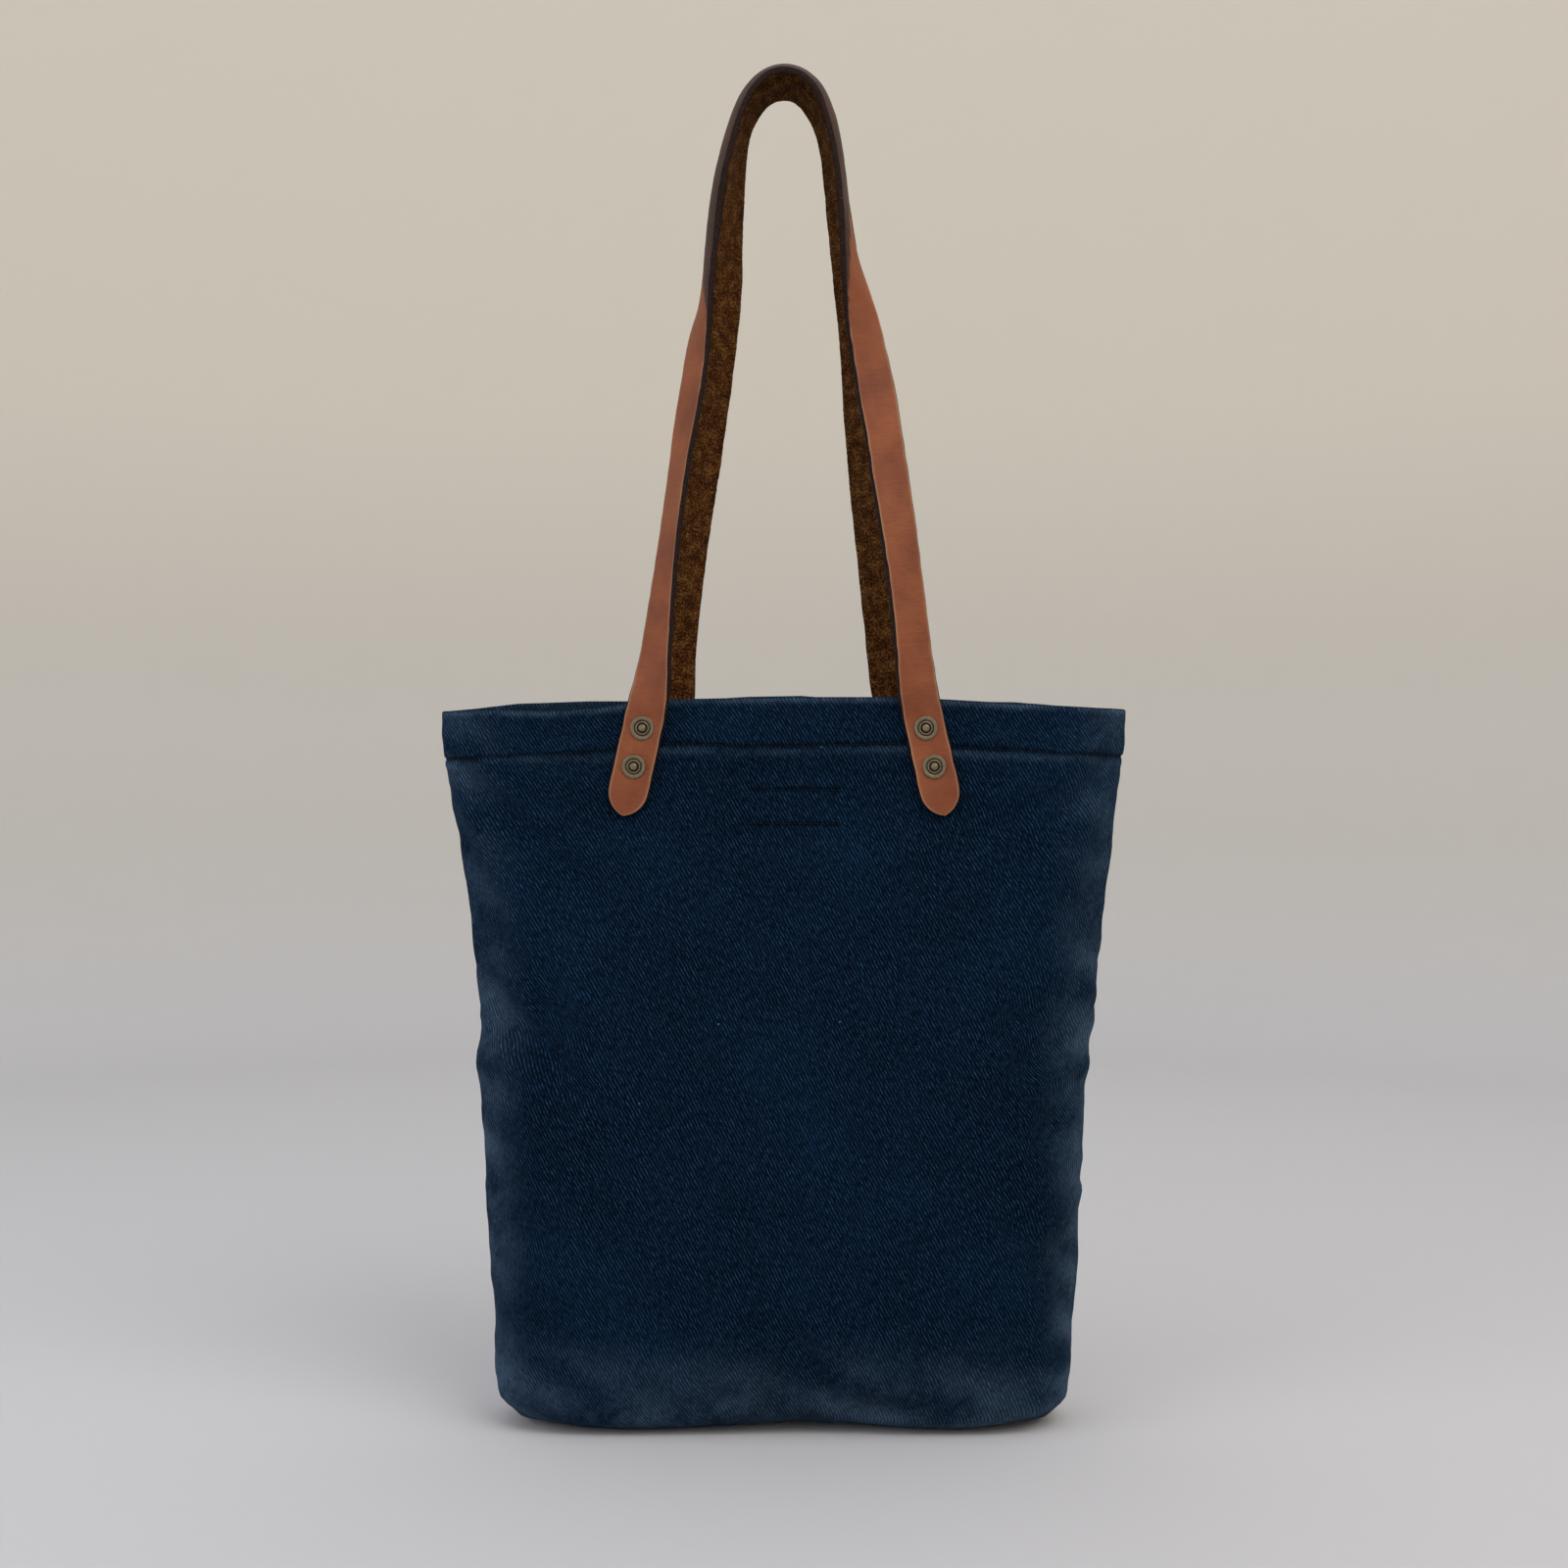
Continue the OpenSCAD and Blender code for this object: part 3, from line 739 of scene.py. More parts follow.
@dataclass
class Studio:
    """Pale seamless bowl, a large soft key from the upper right, a weak fill, and the camera."""

    camera_back: float = 1.1
    camera_height: float = 0.351
    lens: float = 45.5
    floor_radius: float = 1.5
    cove_radius: float = 0.6
    wall_top: float = 2.3
    key_watts: float = 27.0
    fill_watts: float = 10.0
    sky: float = 0.95
    # Colours of the paper by height, as shares of 1.25 m
    paper: tuple = ((0.0, "#cccdd2"), (0.2, "#cccac6"), (0.75, "#dfd9cd"))
    # The bowl lies just under the floor's level, so that the bag doesn't share its plane
    sunk: float = 0.4 * MM

    def build(self) -> None:
        """Makes the camera, the stage and the lights."""
        scene = bpy.context.scene
        scene.view_settings.view_transform = "Standard"
        data = bpy.data.cameras.new("camera")
        data.lens = self.lens
        camera = bpy.data.objects.new("camera", data)
        camera.location = (0.0, -self.camera_back, self.camera_height)
        camera.rotation_euler = (math.radians(90), 0.0, 0.0)
        bpy.context.collection.objects.link(camera)
        scene.camera = camera
        self.add_bowl()
        self.add_light("key", (1.15, -1.35, 1.75), 1.7, self.key_watts, "#fff6ea")
        self.add_light("fill", (-1.5, -1.0, 0.9), 1.3, self.fill_watts, "#e9f0ff")
        world = bpy.data.worlds.new("sky")
        scene.world = world
        world.use_nodes = True
        sky = next(n for n in world.node_tree.nodes if n.type == "BACKGROUND")
        sky.inputs["Color"].default_value = linear("#f1f3f7")
        sky.inputs["Strength"].default_value = self.sky

    def add_light(self, name: str, place: tuple, size: float, watts: float, color: str) -> None:
        """Adds a square soft light that looks at the middle of the bag.

        Args:
            name: Name of the light.
            place: Where it stands.
            size: Length of its side in metres.
            watts: Its power.
            color: Its sRGB hex colour.
        """
        data = bpy.data.lights.new(name, "AREA")
        data.size, data.energy, data.color = size, watts, linear(color)[:3]
        light = bpy.data.objects.new(name, data)
        light.location = place
        light.rotation_euler = (Vector((0, 0, 0.4)) - Vector(place)).to_track_quat("-Z", "Y").to_euler()
        bpy.context.collection.objects.link(light)

    def add_bowl(self) -> None:
        """Makes the floor that curves up into a round wall."""
        turns = 96
        r = self.floor_radius
        cove = [(r + self.cove_radius * math.sin(a), self.cove_radius * (1 - math.cos(a)))
                for a in np.linspace(0, math.pi / 2, 16)]
        profile = [(0.001, 0.0), (0.3, 0.0), (0.8, 0.0)] + cove + [(r + self.cove_radius, self.wall_top)]
        angles = np.linspace(0, 2 * math.pi, turns, endpoint=False)
        points = [(d * math.cos(a), d * math.sin(a), z - self.sunk) for d, z in profile for a in angles]
        faces = grid_faces(len(profile), turns, closed=True)[:, ::-1]
        bowl = make_object("studio_bowl", np.array(points), faces)
        material, tree, shader = new_material("matt_studio_paper", Roughness=0.95, Specular_IOR_Level=0.1)
        place = add_node(tree, "ShaderNodeTexCoord", {}, "Object")
        height = add_node(tree, "ShaderNodeSeparateXYZ", {0: place}, "Z")
        share = add_node(tree, MATH, {"operation": "MULTIPLY", 0: height, 1: 0.8})
        tone = add_node(tree, RAMP, {"Fac": share, "stops": self.paper})
        tree.links.new(tone, shader.inputs["Base Color"])
        bowl.data.materials.append(material)


# ---- Cloth ----


@dataclass(frozen=True)
class BagShape:
    """Outline of the filled bag, from which its cloth, seams and straps take their places."""

    rim: float = 398 * MM
    mouth_w: float = 380 * MM
    mouth_d: float = 32 * MM
    base_w: float = 314 * MM
    base_d: float = 76 * MM
    edge: float = 12 * MM
    droop: float = 6 * MM
    flat_from: float = 325 * MM
    full_from: float = 40 * MM
    cloth: float = 1.1 * MM
    hem: float = 28 * MM

    def ring(self, z: float) -> tuple[float, float]:
        """Half width and half depth at a height, with the rounded edge of the bottom.

        Args:
            z: Height in metres.

        Returns:
            Half width and half depth in metres.
        """
        up = max(z, self.edge)
        w = (self.base_w + (self.mouth_w - self.base_w) * (up / self.rim) ** 1.6) / 2
        d = (self.mouth_d + (self.base_d - self.mouth_d)
             * float(smooth((self.flat_from - up) / (self.flat_from - self.full_from)))) / 2
        low = self.edge - min(z, self.edge)
        inset = self.edge - math.sqrt(max(self.edge ** 2 - low ** 2, 0.0))
        return w - inset, d - inset

    def half_loop(self, z: float, columns: int) -> np.ndarray:
        """Front half of the outline at a height, from the left seam to the right one.

        Args:
            z: Height in metres.
            columns: Number of equal steps along it.

        Returns:
            Array of columns + 1 points.
        """
        w, d = self.ring(z)
        s = np.sin(np.linspace(-math.pi / 2, math.pi / 2, 1601))
        lift = np.maximum(0, 1 - np.abs(s) ** 6) ** (1 / (3 - z / self.rim))
        line = np.stack([w * s, -d * lift, z - self.droop * (z / self.rim) ** 2 * np.abs(s) ** 3], -1)
        steps = np.linalg.norm(np.diff(line, axis=0), axis=1)
        way = np.concatenate([[0], np.cumsum(steps)])
        at = np.linspace(0, way[-1], columns + 1)
        return np.stack([np.interp(at, way, line[:, k]) for k in range(3)], -1)


@dataclass
class FilledCloth:
    """One simulated skin of the whole bag: a wall of rings, and a bottom that joins the lowest one."""

    shape: BagShape
    cells: int = 80
    rows: int = 84
    gusset: int = 8
    frames: int = 26
    pressure: float = 4.0
    grow: float = -0.012
    soft_cap: float = 5.0 * MM
    wrinkle_cap: float = 4.5 * MM
    # Half width of the filled bag at heights, on the left and on the right, both in millimetres
    left: tuple = ((0, 151), (3, 154.5), (8, 157.5), (20, 159.5), (29, 159.9), (50, 158.8), (92, 162.7),
                   (154, 165.9), (185, 168.8), (194, 170.3), (204, 169.4), (215, 167.6), (249, 170.8),
                   (295, 175.7), (336, 184.4), (370, 189.4), (378, 190.2), (398, 190.6))
    right: tuple = ((0, 151), (3, 154), (8, 156.6), (20, 158), (42, 158.8), (109, 162.7), (122, 165.4),
                    (135, 164.3), (181, 166.5), (192, 169.7), (205, 169.2), (217, 172.4), (242, 173.0),
                    (269, 176.3), (321, 182.2), (366, 188.4), (372, 189.3), (398, 190.6))
    # Smoothing passes that part the slow swell from the wrinkles
    passes: int = 60
    # What simulate() makes: the wall's rings of points, and the bottom's grid
    wall: np.ndarray | None = None
    base: np.ndarray | None = None

    def index(self) -> tuple[np.ndarray, np.ndarray, int]:
        """Numbers the points of the wall and the bottom, which share the lowest ring.

        Returns:
            Wall indices (rows + 1, ring), bottom indices (width, depth) and the number of points.
        """
        ring = 2 * self.cells
        wall = np.arange((self.rows + 1) * ring).reshape(self.rows + 1, ring)
        wide, deep = self.cells - 2 * self.gusset, 2 * self.gusset
        base = np.zeros((wide + 1, deep + 1), int)
        count = wall.size
        for i in range(wide + 1):
            for j in range(deep + 1):
                if j == 0:
                    base[i, j] = wall[-1, self.gusset + i]
                elif j == deep:
                    base[i, j] = wall[-1, ring - self.gusset - i]
                elif i == 0:
                    base[i, j] = wall[-1, (self.gusset - j) % ring]
                elif i == wide:
                    base[i, j] = wall[-1, self.cells - self.gusset + j]
                else:
                    base[i, j] = count
                    count += 1
        return wall, base, count

    def loft(self) -> np.ndarray:
        """Points of the bag's plain outline, in the order of index().

        Returns:
            Array of points.
        """
        wall, base, count = self.index()
        points = np.zeros((count, 3))
        for r in range(self.rows + 1):
            z = self.shape.rim * (1 - r / self.rows)
            half = self.shape.half_loop(z, self.cells)
            points[wall[r, :self.cells + 1]] = half
            points[wall[r, self.cells + 1:]] = (half * (1, -1, 1))[-2:0:-1]
        wide, deep = base.shape[0] - 1, base.shape[1] - 1
        grid = points[base]
        u = np.linspace(0, 1, wide + 1)[:, None, None]
        v = np.linspace(0, 1, deep + 1)[None, :, None]
        patch = ((1 - u) * grid[:1] + u * grid[-1:] + (1 - v) * grid[:, :1] + v * grid[:, -1:]
                 - (1 - u) * (1 - v) * grid[:1, :1] - u * (1 - v) * grid[-1:, :1]
                 - (1 - u) * v * grid[:1, -1:] - u * v * grid[-1:, -1:])
        points[base[1:-1, 1:-1]] = patch[1:-1, 1:-1]
        return points

    def cut(self) -> np.ndarray:
        """The same points on the straight-sided box that the cloth was cut and sewn for.

        Returns:
            Array of points.
        """
        wall, base, count = self.index()
        points = np.zeros((count, 3))
        step = self.shape.mouth_w / self.cells
        wide, deep = base.shape[0] - 1, base.shape[1] - 1
        x = (np.arange(wide + 1) - wide / 2) * step
        y = (np.arange(deep + 1) - deep / 2) * step
        points[base, 0], points[base, 1] = x[:, None], y[None, :]
        floor = points[wall[-1]]
        for r in range(self.rows + 1):
            points[wall[r]] = floor
            points[wall[r], 2] = self.shape.rim * (1 - r / self.rows)
        return points

    def simulate(self) -> None:
        """Fills the sewn cloth with air, its rim held, and keeps the wrinkles that this makes."""
        wall, base, count = self.index()
        start = self.loft()
        ring = 2 * self.cells
        faces = [*grid_faces(self.rows + 1, ring, closed=True)[:, ::-1]]
        faces += [(base[i, j], base[i, j + 1], base[i + 1, j + 1], base[i + 1, j])
                  for i in range(base.shape[0] - 1) for j in range(base.shape[1] - 1)]
        skin = make_object("filling_skin", start, faces)
        skin.shape_key_add(name="Basis")
        rest = skin.shape_key_add(name="cut")
        rest.data.foreach_set("co", self.cut().ravel())
        rest.value = 0.0
        held = skin.vertex_groups.new(name="rim")
        held.add([int(i) for i in wall[0]], 1.0, "REPLACE")
        settings = skin.modifiers.new("cloth", "CLOTH").settings
        settings.rest_shape_key = rest
        settings.quality = 6
        settings.mass = 0.25
        settings.tension_stiffness = settings.compression_stiffness = 25.0
        settings.shear_stiffness = 12.0
        settings.bending_stiffness = 1.2
        settings.air_damping = 2.0
        settings.vertex_group_mass = "rim"
        settings.shrink_min = self.grow
        settings.use_pressure = True
        settings.uniform_pressure_force = self.pressure
        settings.effector_weights.gravity = 0.0
        scene = bpy.context.scene
        frames = self.frames
        skin.modifiers["cloth"].point_cache.frame_end = frames
        for frame_number in range(1, frames + 1):
            scene.frame_set(frame_number)
        shown = skin.evaluated_get(bpy.context.evaluated_depsgraph_get())
        done = np.zeros(count * 3)
        shown.data.vertices.foreach_get("co", done)
        scene.frame_set(1)
        bpy.data.objects.remove(skin)
        moved = done.reshape(-1, 3) - start
        LOG.info("cloth moved by %.1f mm at most", 1000 * np.abs(moved).max())
        self.settle(start, moved, wall, base)

    def settle(self, start: np.ndarray, moved: np.ndarray, wall: np.ndarray, base: np.ndarray) -> None:
        """Keeps the fine wrinkles and limits the slow swell, so that the bag stays its size.

        Args:
            start: Points before the filling.
            moved: How far each point went.
            wall: Indices of the wall.
            base: Indices of the bottom.
        """
        slow = moved[wall]
        for _ in range(self.passes):
            up = np.concatenate([slow[:1], slow[:-1]])
            down = np.concatenate([slow[1:], slow[-1:]])
            slow = 0.2 * (up + down + np.roll(slow, 1, 1) + np.roll(slow, -1, 1) + slow)
        fine = moved[wall] - slow
        column = np.arange(2 * self.cells)
        from_seam = np.minimum(np.abs(column - self.cells), np.minimum(column, 2 * self.cells - column))
        # The two seams hold their cloth straighter than the free cloth between them
        fine = fine * (1 - 0.5 * bump(from_seam / 4))[None, :, None]

        def cap(v: np.ndarray, most: float) -> np.ndarray:
            """Shortens long vectors softly."""
            return v / np.sqrt(1 + np.square(np.linalg.norm(v, axis=-1, keepdims=True) / most))

        skin = start[wall] + cap(slow, self.soft_cap) + cap(fine, self.wrinkle_cap)
        heights = start[wall][:, 0, 2] / MM
        for sign, table in ((-1, self.left), (1, self.right)):
            want = np.interp(heights, *zip(*table)) * MM
            x = skin[..., 0] * sign
            reach = x.max(axis=1)
            share = np.clip(x / reach[:, None], 0, 1) ** 2
            skin[..., 0] += sign * x * (want / reach - 1)[:, None] * share
        self.wall = np.concatenate([skin, skin[:, :1]], axis=1)
        floor = start[base] + cap(moved[base], self.soft_cap)
        rim = self.wall[-1]
        deep, wide = floor.shape[1] - 1, floor.shape[0] - 1
        edges = floor.copy()
        edges[:, 0] = rim[self.gusset:self.gusset + wide + 1]
        edges[:, -1] = rim[2 * self.cells - self.gusset - np.arange(wide + 1)]
        edges[0] = rim[(self.gusset - np.arange(deep + 1)) % (2 * self.cells)]
        edges[-1] = rim[self.cells - self.gusset + np.arange(deep + 1)]
        gap = edges - floor
        u = np.linspace(0, 1, wide + 1)[:, None, None]
        v = np.linspace(0, 1, deep + 1)[None, :, None]
        floor += ((1 - v) ** 3 * gap[:, :1] + v ** 3 * gap[:, -1:]) * np.minimum(1, 8 * np.minimum(u, 1 - u))
        floor[:, 0], floor[:, -1], floor[0], floor[-1] = edges[:, 0], edges[:, -1], edges[0], edges[-1]
        self.base = floor


@dataclass
class TwillPanel:
    """One side of the bag: its wall, its half of the bottom, and the hem turned in at the mouth."""

    side: Side
    cloth: FilledCloth
    # Fine columns to a cell of the simulated cloth
    fine: float = 2.5
    # Depth of the stitch line below the rim
    stitch: float = 27.5 * MM
    fold: float = 1.2 * MM
    # Heights of the label's two rows of stitches, and where they start and end, in millimetres
    label_rows: tuple = (346, 327.5)
    label_ends: tuple = (-18.5, 30)
    # Height of the rim along the mouth against its nominal height, in millimetres
    rims: dict = field(default_factory=lambda: {
        Side.FRONT: ((-190, -7), (-150, -6.8), (-122, -7.4), (-100, -5.5), (-75, -1), (0, 0.5), (60, 0.5),
                     (75, 0), (120, -2.5), (190, -6)),
        Side.BACK: ((-190, -7), (-150, -2), (-110, -0.5), (-60, -0.5), (-20, 2), (10, 2.5), (40, 0),
                    (130, -1), (190, -6))})
    # Height of the bottom's edge, where the hanging cloth is drawn up a little, in millimetres
    bottom: tuple = ((-160, 9), (-152, 8.5), (-140, 6.5), (-126, 3.5), (-108, 1), (-88, 0), (-50, 0.5),
                     (-30, 1.5), (0, 5), (32, 3.5), (60, 0.5), (95, 0), (112, 1.5), (128, 4), (142, 7),
                     (152, 8.5), (160, 9))
    # How high the sewn bottom stands off the floor, and how much more along its seam
    stand: float = 0.4 * MM
    seam_rise: float = 1.4 * MM
    # Share of rubbing on the hem's lining and on the bottom
    lining_wear: float = 0.25
    floor_wear: float = 0.6
    # What build() makes: points and normals of the wall's outer face, and its rows and columns
    points: np.ndarray | None = None
    normals: np.ndarray | None = None
    depths: np.ndarray | None = None
    columns: np.ndarray | None = None

    def build(self, finish: bpy.types.Material) -> bpy.types.Object:
        """Makes the panel as a closed sheet.

        Args:
            finish: The twill.

        Returns:
            The piece.
        """
        cloth, shape = self.cloth, self.cloth.shape
        cells = cloth.cells
        front = self.side is Side.FRONT
        half = cloth.wall[:, :cells + 1] if front else cloth.wall[:, cells:][:, ::-1]
        # Rows lie close together down to below the label, where stitches press the cloth
        rows_at = np.concatenate([np.arange(0, 16, 0.2), np.linspace(16, cloth.rows, 101)])
        cols_at = np.arange(0, cells + 0.01, 1 / self.fine)
        grid = along(half, rows_at)
        grid = along(grid.swapaxes(0, 1), cols_at).swapaxes(0, 1)
        step = shape.mouth_w / cells
        u = (cols_at - cells / 2) * step
        depth = rows_at / cloth.rows * shape.rim
        grid = self.shape_wall(grid, u, depth)
        self.points, self.depths, self.columns = grid, depth, u
        self.normals = self.outward_normals(grid)
        inward = unit(self.normals * (1, 1, 0)) * -1
        keep = np.arange(0, int(np.searchsorted(depth, shape.hem)), 2)[::-1]
        lining = grid[keep] + inward[keep] * 2 * self.fold
        angles = np.linspace(0, math.pi, 7)[1:-1][::-1]
        turn = np.stack([grid[0] + inward[0] * self.fold * (1 - math.cos(a)) + (0, 0, self.fold * math.sin(a))
                         for a in angles])
        full = np.concatenate([lining, turn, grid])
        rows, cols = full.shape[:2]
        v = np.concatenate([shape.rim + depth[keep], shape.rim + np.linspace(0.5, 0.1, len(turn)) * MM,
                            shape.rim - depth])
        across = u if front else -u
        uv = np.stack(np.broadcast_arrays(across[None, :], v[:, None]), -1).reshape(-1, 2)
        floor, floor_uv, index = self.floor(rows, cols, grid[-1], across)
        faces = np.concatenate([grid_faces(rows, cols), index.reshape(-1)[grid_faces(*floor.shape[:2])]])
        faces = faces[:, ::-1] if front else faces
        new = index.reshape(-1) >= rows * cols
        points = np.concatenate([full.reshape(-1, 3), floor.reshape(-1, 3)[new]])
        piece = make_object(f"{self.side.word}_twill_panel", points, faces,
                            np.concatenate([uv, floor_uv.reshape(-1, 2)[new]]))
        inside, below = (len(keep) + len(turn)) * cols, int(new.sum())
        # Colour masks: painted shade in the stitch grooves, and paler cloth that is worn in places and a
        # painted sheen along the sides
        pressed, wear = self.pressed(grid, u, depth).ravel(), self.wear(grid, u, depth).ravel()
        paint(piece, "pressed", np.concatenate([np.zeros(inside), pressed, np.zeros(below)]))
        paint(piece, "wear", np.concatenate([np.full(inside, self.lining_wear), wear,
                                             np.full(below, self.floor_wear)]))
        piece.data.materials.append(finish)
        wall = piece.modifiers.new("cloth_thickness", "SOLIDIFY")
        wall.thickness, wall.offset = shape.cloth, -1.0
        apply_modifiers(piece)
        return piece

    def outward_normals(self, grid: np.ndarray) -> np.ndarray:
        """Unit normals of a grid of points, away from the inside of the bag."""
        normals = unit(np.cross(np.gradient(grid, axis=1), np.gradient(grid, axis=0)))
        return normals * self.side.value

    def floor(self, rows: int, cols: int, ring: np.ndarray,
              across: np.ndarray) -> tuple[np.ndarray, np.ndarray, np.ndarray]:
        """Half of the bottom, which shares its outer points with the wall's lowest row.

        Args:
            rows: Number of rows of the wall and hem.
            cols: Number of columns.
            ring: Points of the lowest row.
            across: Place of each column across the flat cloth.

        Returns:
            The points (depth, width), their UV and their indices in the whole mesh.
        """
        cloth = self.cloth
        edge = round(cloth.gusset * self.fine)
        front = self.side is Side.FRONT
        base = cloth.base if front else cloth.base[:, ::-1]
        base = base[:, :cloth.gusset + 1].swapaxes(0, 1)
        deep_at = np.arange(0, cloth.gusset + 0.01, 1 / self.fine)
        wide_at = np.arange(0, base.shape[1] - 1 + 0.01, 1 / self.fine)
        patch = along(along(base, deep_at).swapaxes(0, 1), wide_at).swapaxes(0, 1).copy()
        deep, wide = patch.shape[:2]
        last = (rows - 1) * cols
        index = np.full((deep, wide), -1)
        index[0] = last + edge + np.arange(wide)
        index[:, 0] = last + edge - np.arange(deep)
        index[:, -1] = last + edge + wide - 1 + np.arange(deep)
        free = index < 0
        index[free] = rows * cols + np.arange(int(free.sum()))
        patch[0], patch[:, 0], patch[:, -1] = (ring[edge:edge + wide], ring[edge::-1],
                                               ring[edge + wide - 1:])
        # The sewn middle of the bottom is drawn in, and the free cloth follows the height of its edge
        reach = np.abs(patch[..., 1]) / np.abs(patch[0, :, 1]).max()
        lift = np.interp(patch[..., 0], *zip(*[(x * MM, z * MM) for x, z in self.bottom]))
        level = lift * reach ** 1.5 + self.stand + self.seam_rise * bump(patch[..., 1] / (1.6 * MM))
        inner = np.minimum(np.arange(wide), np.arange(wide)[::-1])[None, :] / 12
        outer = np.arange(deep)[:, None] / 6
        share = smooth(np.minimum(inner, outer))
        patch[..., 2] = np.where(free, ring[edge:edge + wide, 2][None, :] * (1 - share) + level * share,
                                 patch[..., 2])
        step = cloth.shape.mouth_w / cloth.cells
        v = -deep_at * step
        uv = np.stack(np.broadcast_arrays(across[None, edge:edge + wide], v[:, None]), -1)
        return patch, uv, index

    def shape_wall(self, grid: np.ndarray, u: np.ndarray, depth: np.ndarray) -> np.ndarray:
        """Gives the wall its hem, seams, puckers and small wrinkles.

        Args:
            grid: Points (rows, columns).
            u: Place of each column across the flat cloth.
            depth: Distance of each row below the rim along the cloth.

        Returns:
            The finished points.
        """
        seed = 11 if self.side is Side.FRONT else 12
        grid = grid.copy()
        d, x = depth[:, None] / MM, grid[..., 0] / MM
        half = self.cloth.shape.mouth_w / 2 / MM
        up = self.cloth.shape.rim / MM - d
        line = self.stitch_depth(u) / MM
        rim = np.interp(x, *zip(*self.rims[self.side])) + 6 * (np.abs(x) / half) ** 3
        grid[..., 2] += (rim * (1 - smooth(d / 60)) - 1.2 * (1 - smooth(d / 14))) * MM
        # The bottom stands on the floor, its edge a little drawn up here and there
        low = 1 - smooth(grid[..., 2] / (60 * MM))
        lift = np.interp(x, *zip(*self.bottom)) - grid[-1, :, 2].min() / MM
        grid[..., 2] += lift * low * MM
        n = self.outward_normals(grid)
        uu = u[None, :] / MM
        soft = (waves(seed + 4, 22, 24, 80, uu, d) * 0.36 + waves(seed + 5, 30, 7, 20, uu, d) * 0.06)
        soft = soft * smooth((d - line) / 30) * (0.35 + 0.65 * smooth((np.abs(uu) - 60) / 90))
        side = half - np.abs(uu)
        seam = -1.2 * bump(side / 1.8) + 0.35 * bump((side - 6) / 3)
        gather = waves(seed + 6, 12, 16, 50, d, uu * 0.25) * 0.28 * bump(side / 22)
        # At the boxed corners the cloth folds round in a ridge that dies out on the way up
        standing = 1 - smooth((grid[..., 2] / MM - 6) / 52)
        bent = (1.5 * bump((side - 40 - 0.12 * grid[..., 2] / MM) / 3.2)
                - 1.4 * bump((side - 32 - 0.05 * grid[..., 2] / MM) / 4.0)) * standing
        fade = smooth((depth[-1] / MM - d) / 8)
        grid += n * (((soft + gather + bent) * fade + seam) * MM)[..., None]
        grid = self.lay_flat(grid, d, x)
        # The hem is doubled cloth; its stitches draw in a groove, and the cloth below swells out of it
        n = self.outward_normals(grid)
        hem = 0.35 * (1 - smooth((d - line + 2) / 3))
        groove = -0.9 * bump((d - line) / 1.05) + 0.40 * bump((d - line - 3.2) / 2.2)
        pucker = (waves(seed + 2, 16, 6, 15, uu, d * 0.3) * 0.22 * bump((d - line) / 6)
                  + waves(seed + 3, 10, 12, 30, uu, d * 0.4) * 0.26 * bump((d - line) / 13))
        # Soft folds run down and out from the hem beside each strap end
        hang = 0.0
        for sign, slope, start in ((-1, 0.30, 118), (1, 0.38, 123)):
            off = sign * x - start - (366 - up) * slope
            fold = 1.5 * bump(off / 8) - 1.5 * bump((off - 19) / 9) + 0.8 * bump((off - 37) / 8)
            hang = hang + fold * smooth((366 - up) / 14) * smooth((up - 255) / 65)
        total = hem + groove + pucker + hang
        if self.side is Side.FRONT:
            inside = self.beside_label(x, 3)
            for z in self.label_rows:
                total = total - 0.75 * bump((up - z) / 1.2) * inside
                total = total + 0.22 * bump((up - z + 3.2) / 1.8) * inside
            tall = (up > 327) & (up < 347)
            for at in self.label_ends:
                total = total - 0.35 * bump((x - at) / 1.6) * tall
        grid += n * (total * MM)[..., None]
        return grid

    def beside_label(self, x: np.ndarray, fade: float) -> np.ndarray:
        """1 between the ends of the label's rows, fading out just past them; all in millimetres."""
        return smooth((x - self.label_ends[0] + 1.5) / fade) * smooth((self.label_ends[1] + 2 - x) / fade)

    def lay_flat(self, grid: np.ndarray, d: np.ndarray, x: np.ndarray) -> np.ndarray:
        """Lays the cloth flat behind the strap ends and before the label.

        Args:
            grid: Points (rows, columns).
            d: Distance below the rim in millimetres.
            x: Place across in millimetres.

        Returns:
            The points.
        """
        away = np.abs(np.abs(x) - (LEG_X[self.side] / MM + d * math.tan(LEAN))) * math.cos(LEAN)
        away = np.hypot(np.maximum(away - 10, 0), np.maximum(d - 60, 0))
        share = 1 - smooth((away - 3) / 26)
        if self.side is Side.FRONT:
            up = self.cloth.shape.rim / MM - d
            label = np.hypot(np.maximum(np.abs(x - 6) - 25, 0), np.maximum(np.abs(up - 338) - 13, 0))
            share = np.maximum(share, 0.9 * (1 - smooth((label - 1) / 22)))
        flat = self.side.value * self.cloth.shape.mouth_d / 2
        grid[..., 1] += (flat - grid[..., 1]) * share
        return grid

    def stitch_depth(self, u: np.ndarray) -> np.ndarray:
        """Depth of the hem's stitches below the rim at places across, which wanders a little."""
        across = u[None, :] / MM
        return self.stitch + waves(21 + self.side.value, 5, 60, 200, across, across * 0) * 0.7 * MM

    def pressed(self, grid: np.ndarray, u: np.ndarray, depth: np.ndarray) -> np.ndarray:
        """How deep the cloth lies in the groove of a row of stitches, from 0 to 1; it sets the painted shade
        in the groove.

        Args:
            grid: Points (rows, columns).
            u: Place of each column across the flat cloth.
            depth: Distance of each row below the rim.

        Returns:
            One value to each point.
        """
        d, x = depth[:, None] / MM, grid[..., 0] / MM
        rough = 0.85 + 0.3 * waves(33, 20, 3, 20, x, d)
        found = 0.85 * bump((d - self.stitch_depth(u) / MM) / 1.15)
        if self.side is Side.FRONT:
            up = self.cloth.shape.rim / MM - d
            for z in self.label_rows:
                found = found + 0.95 * bump((up - z) / 1.15) * self.beside_label(x, 2)
        return np.clip(found * rough, 0, 1)

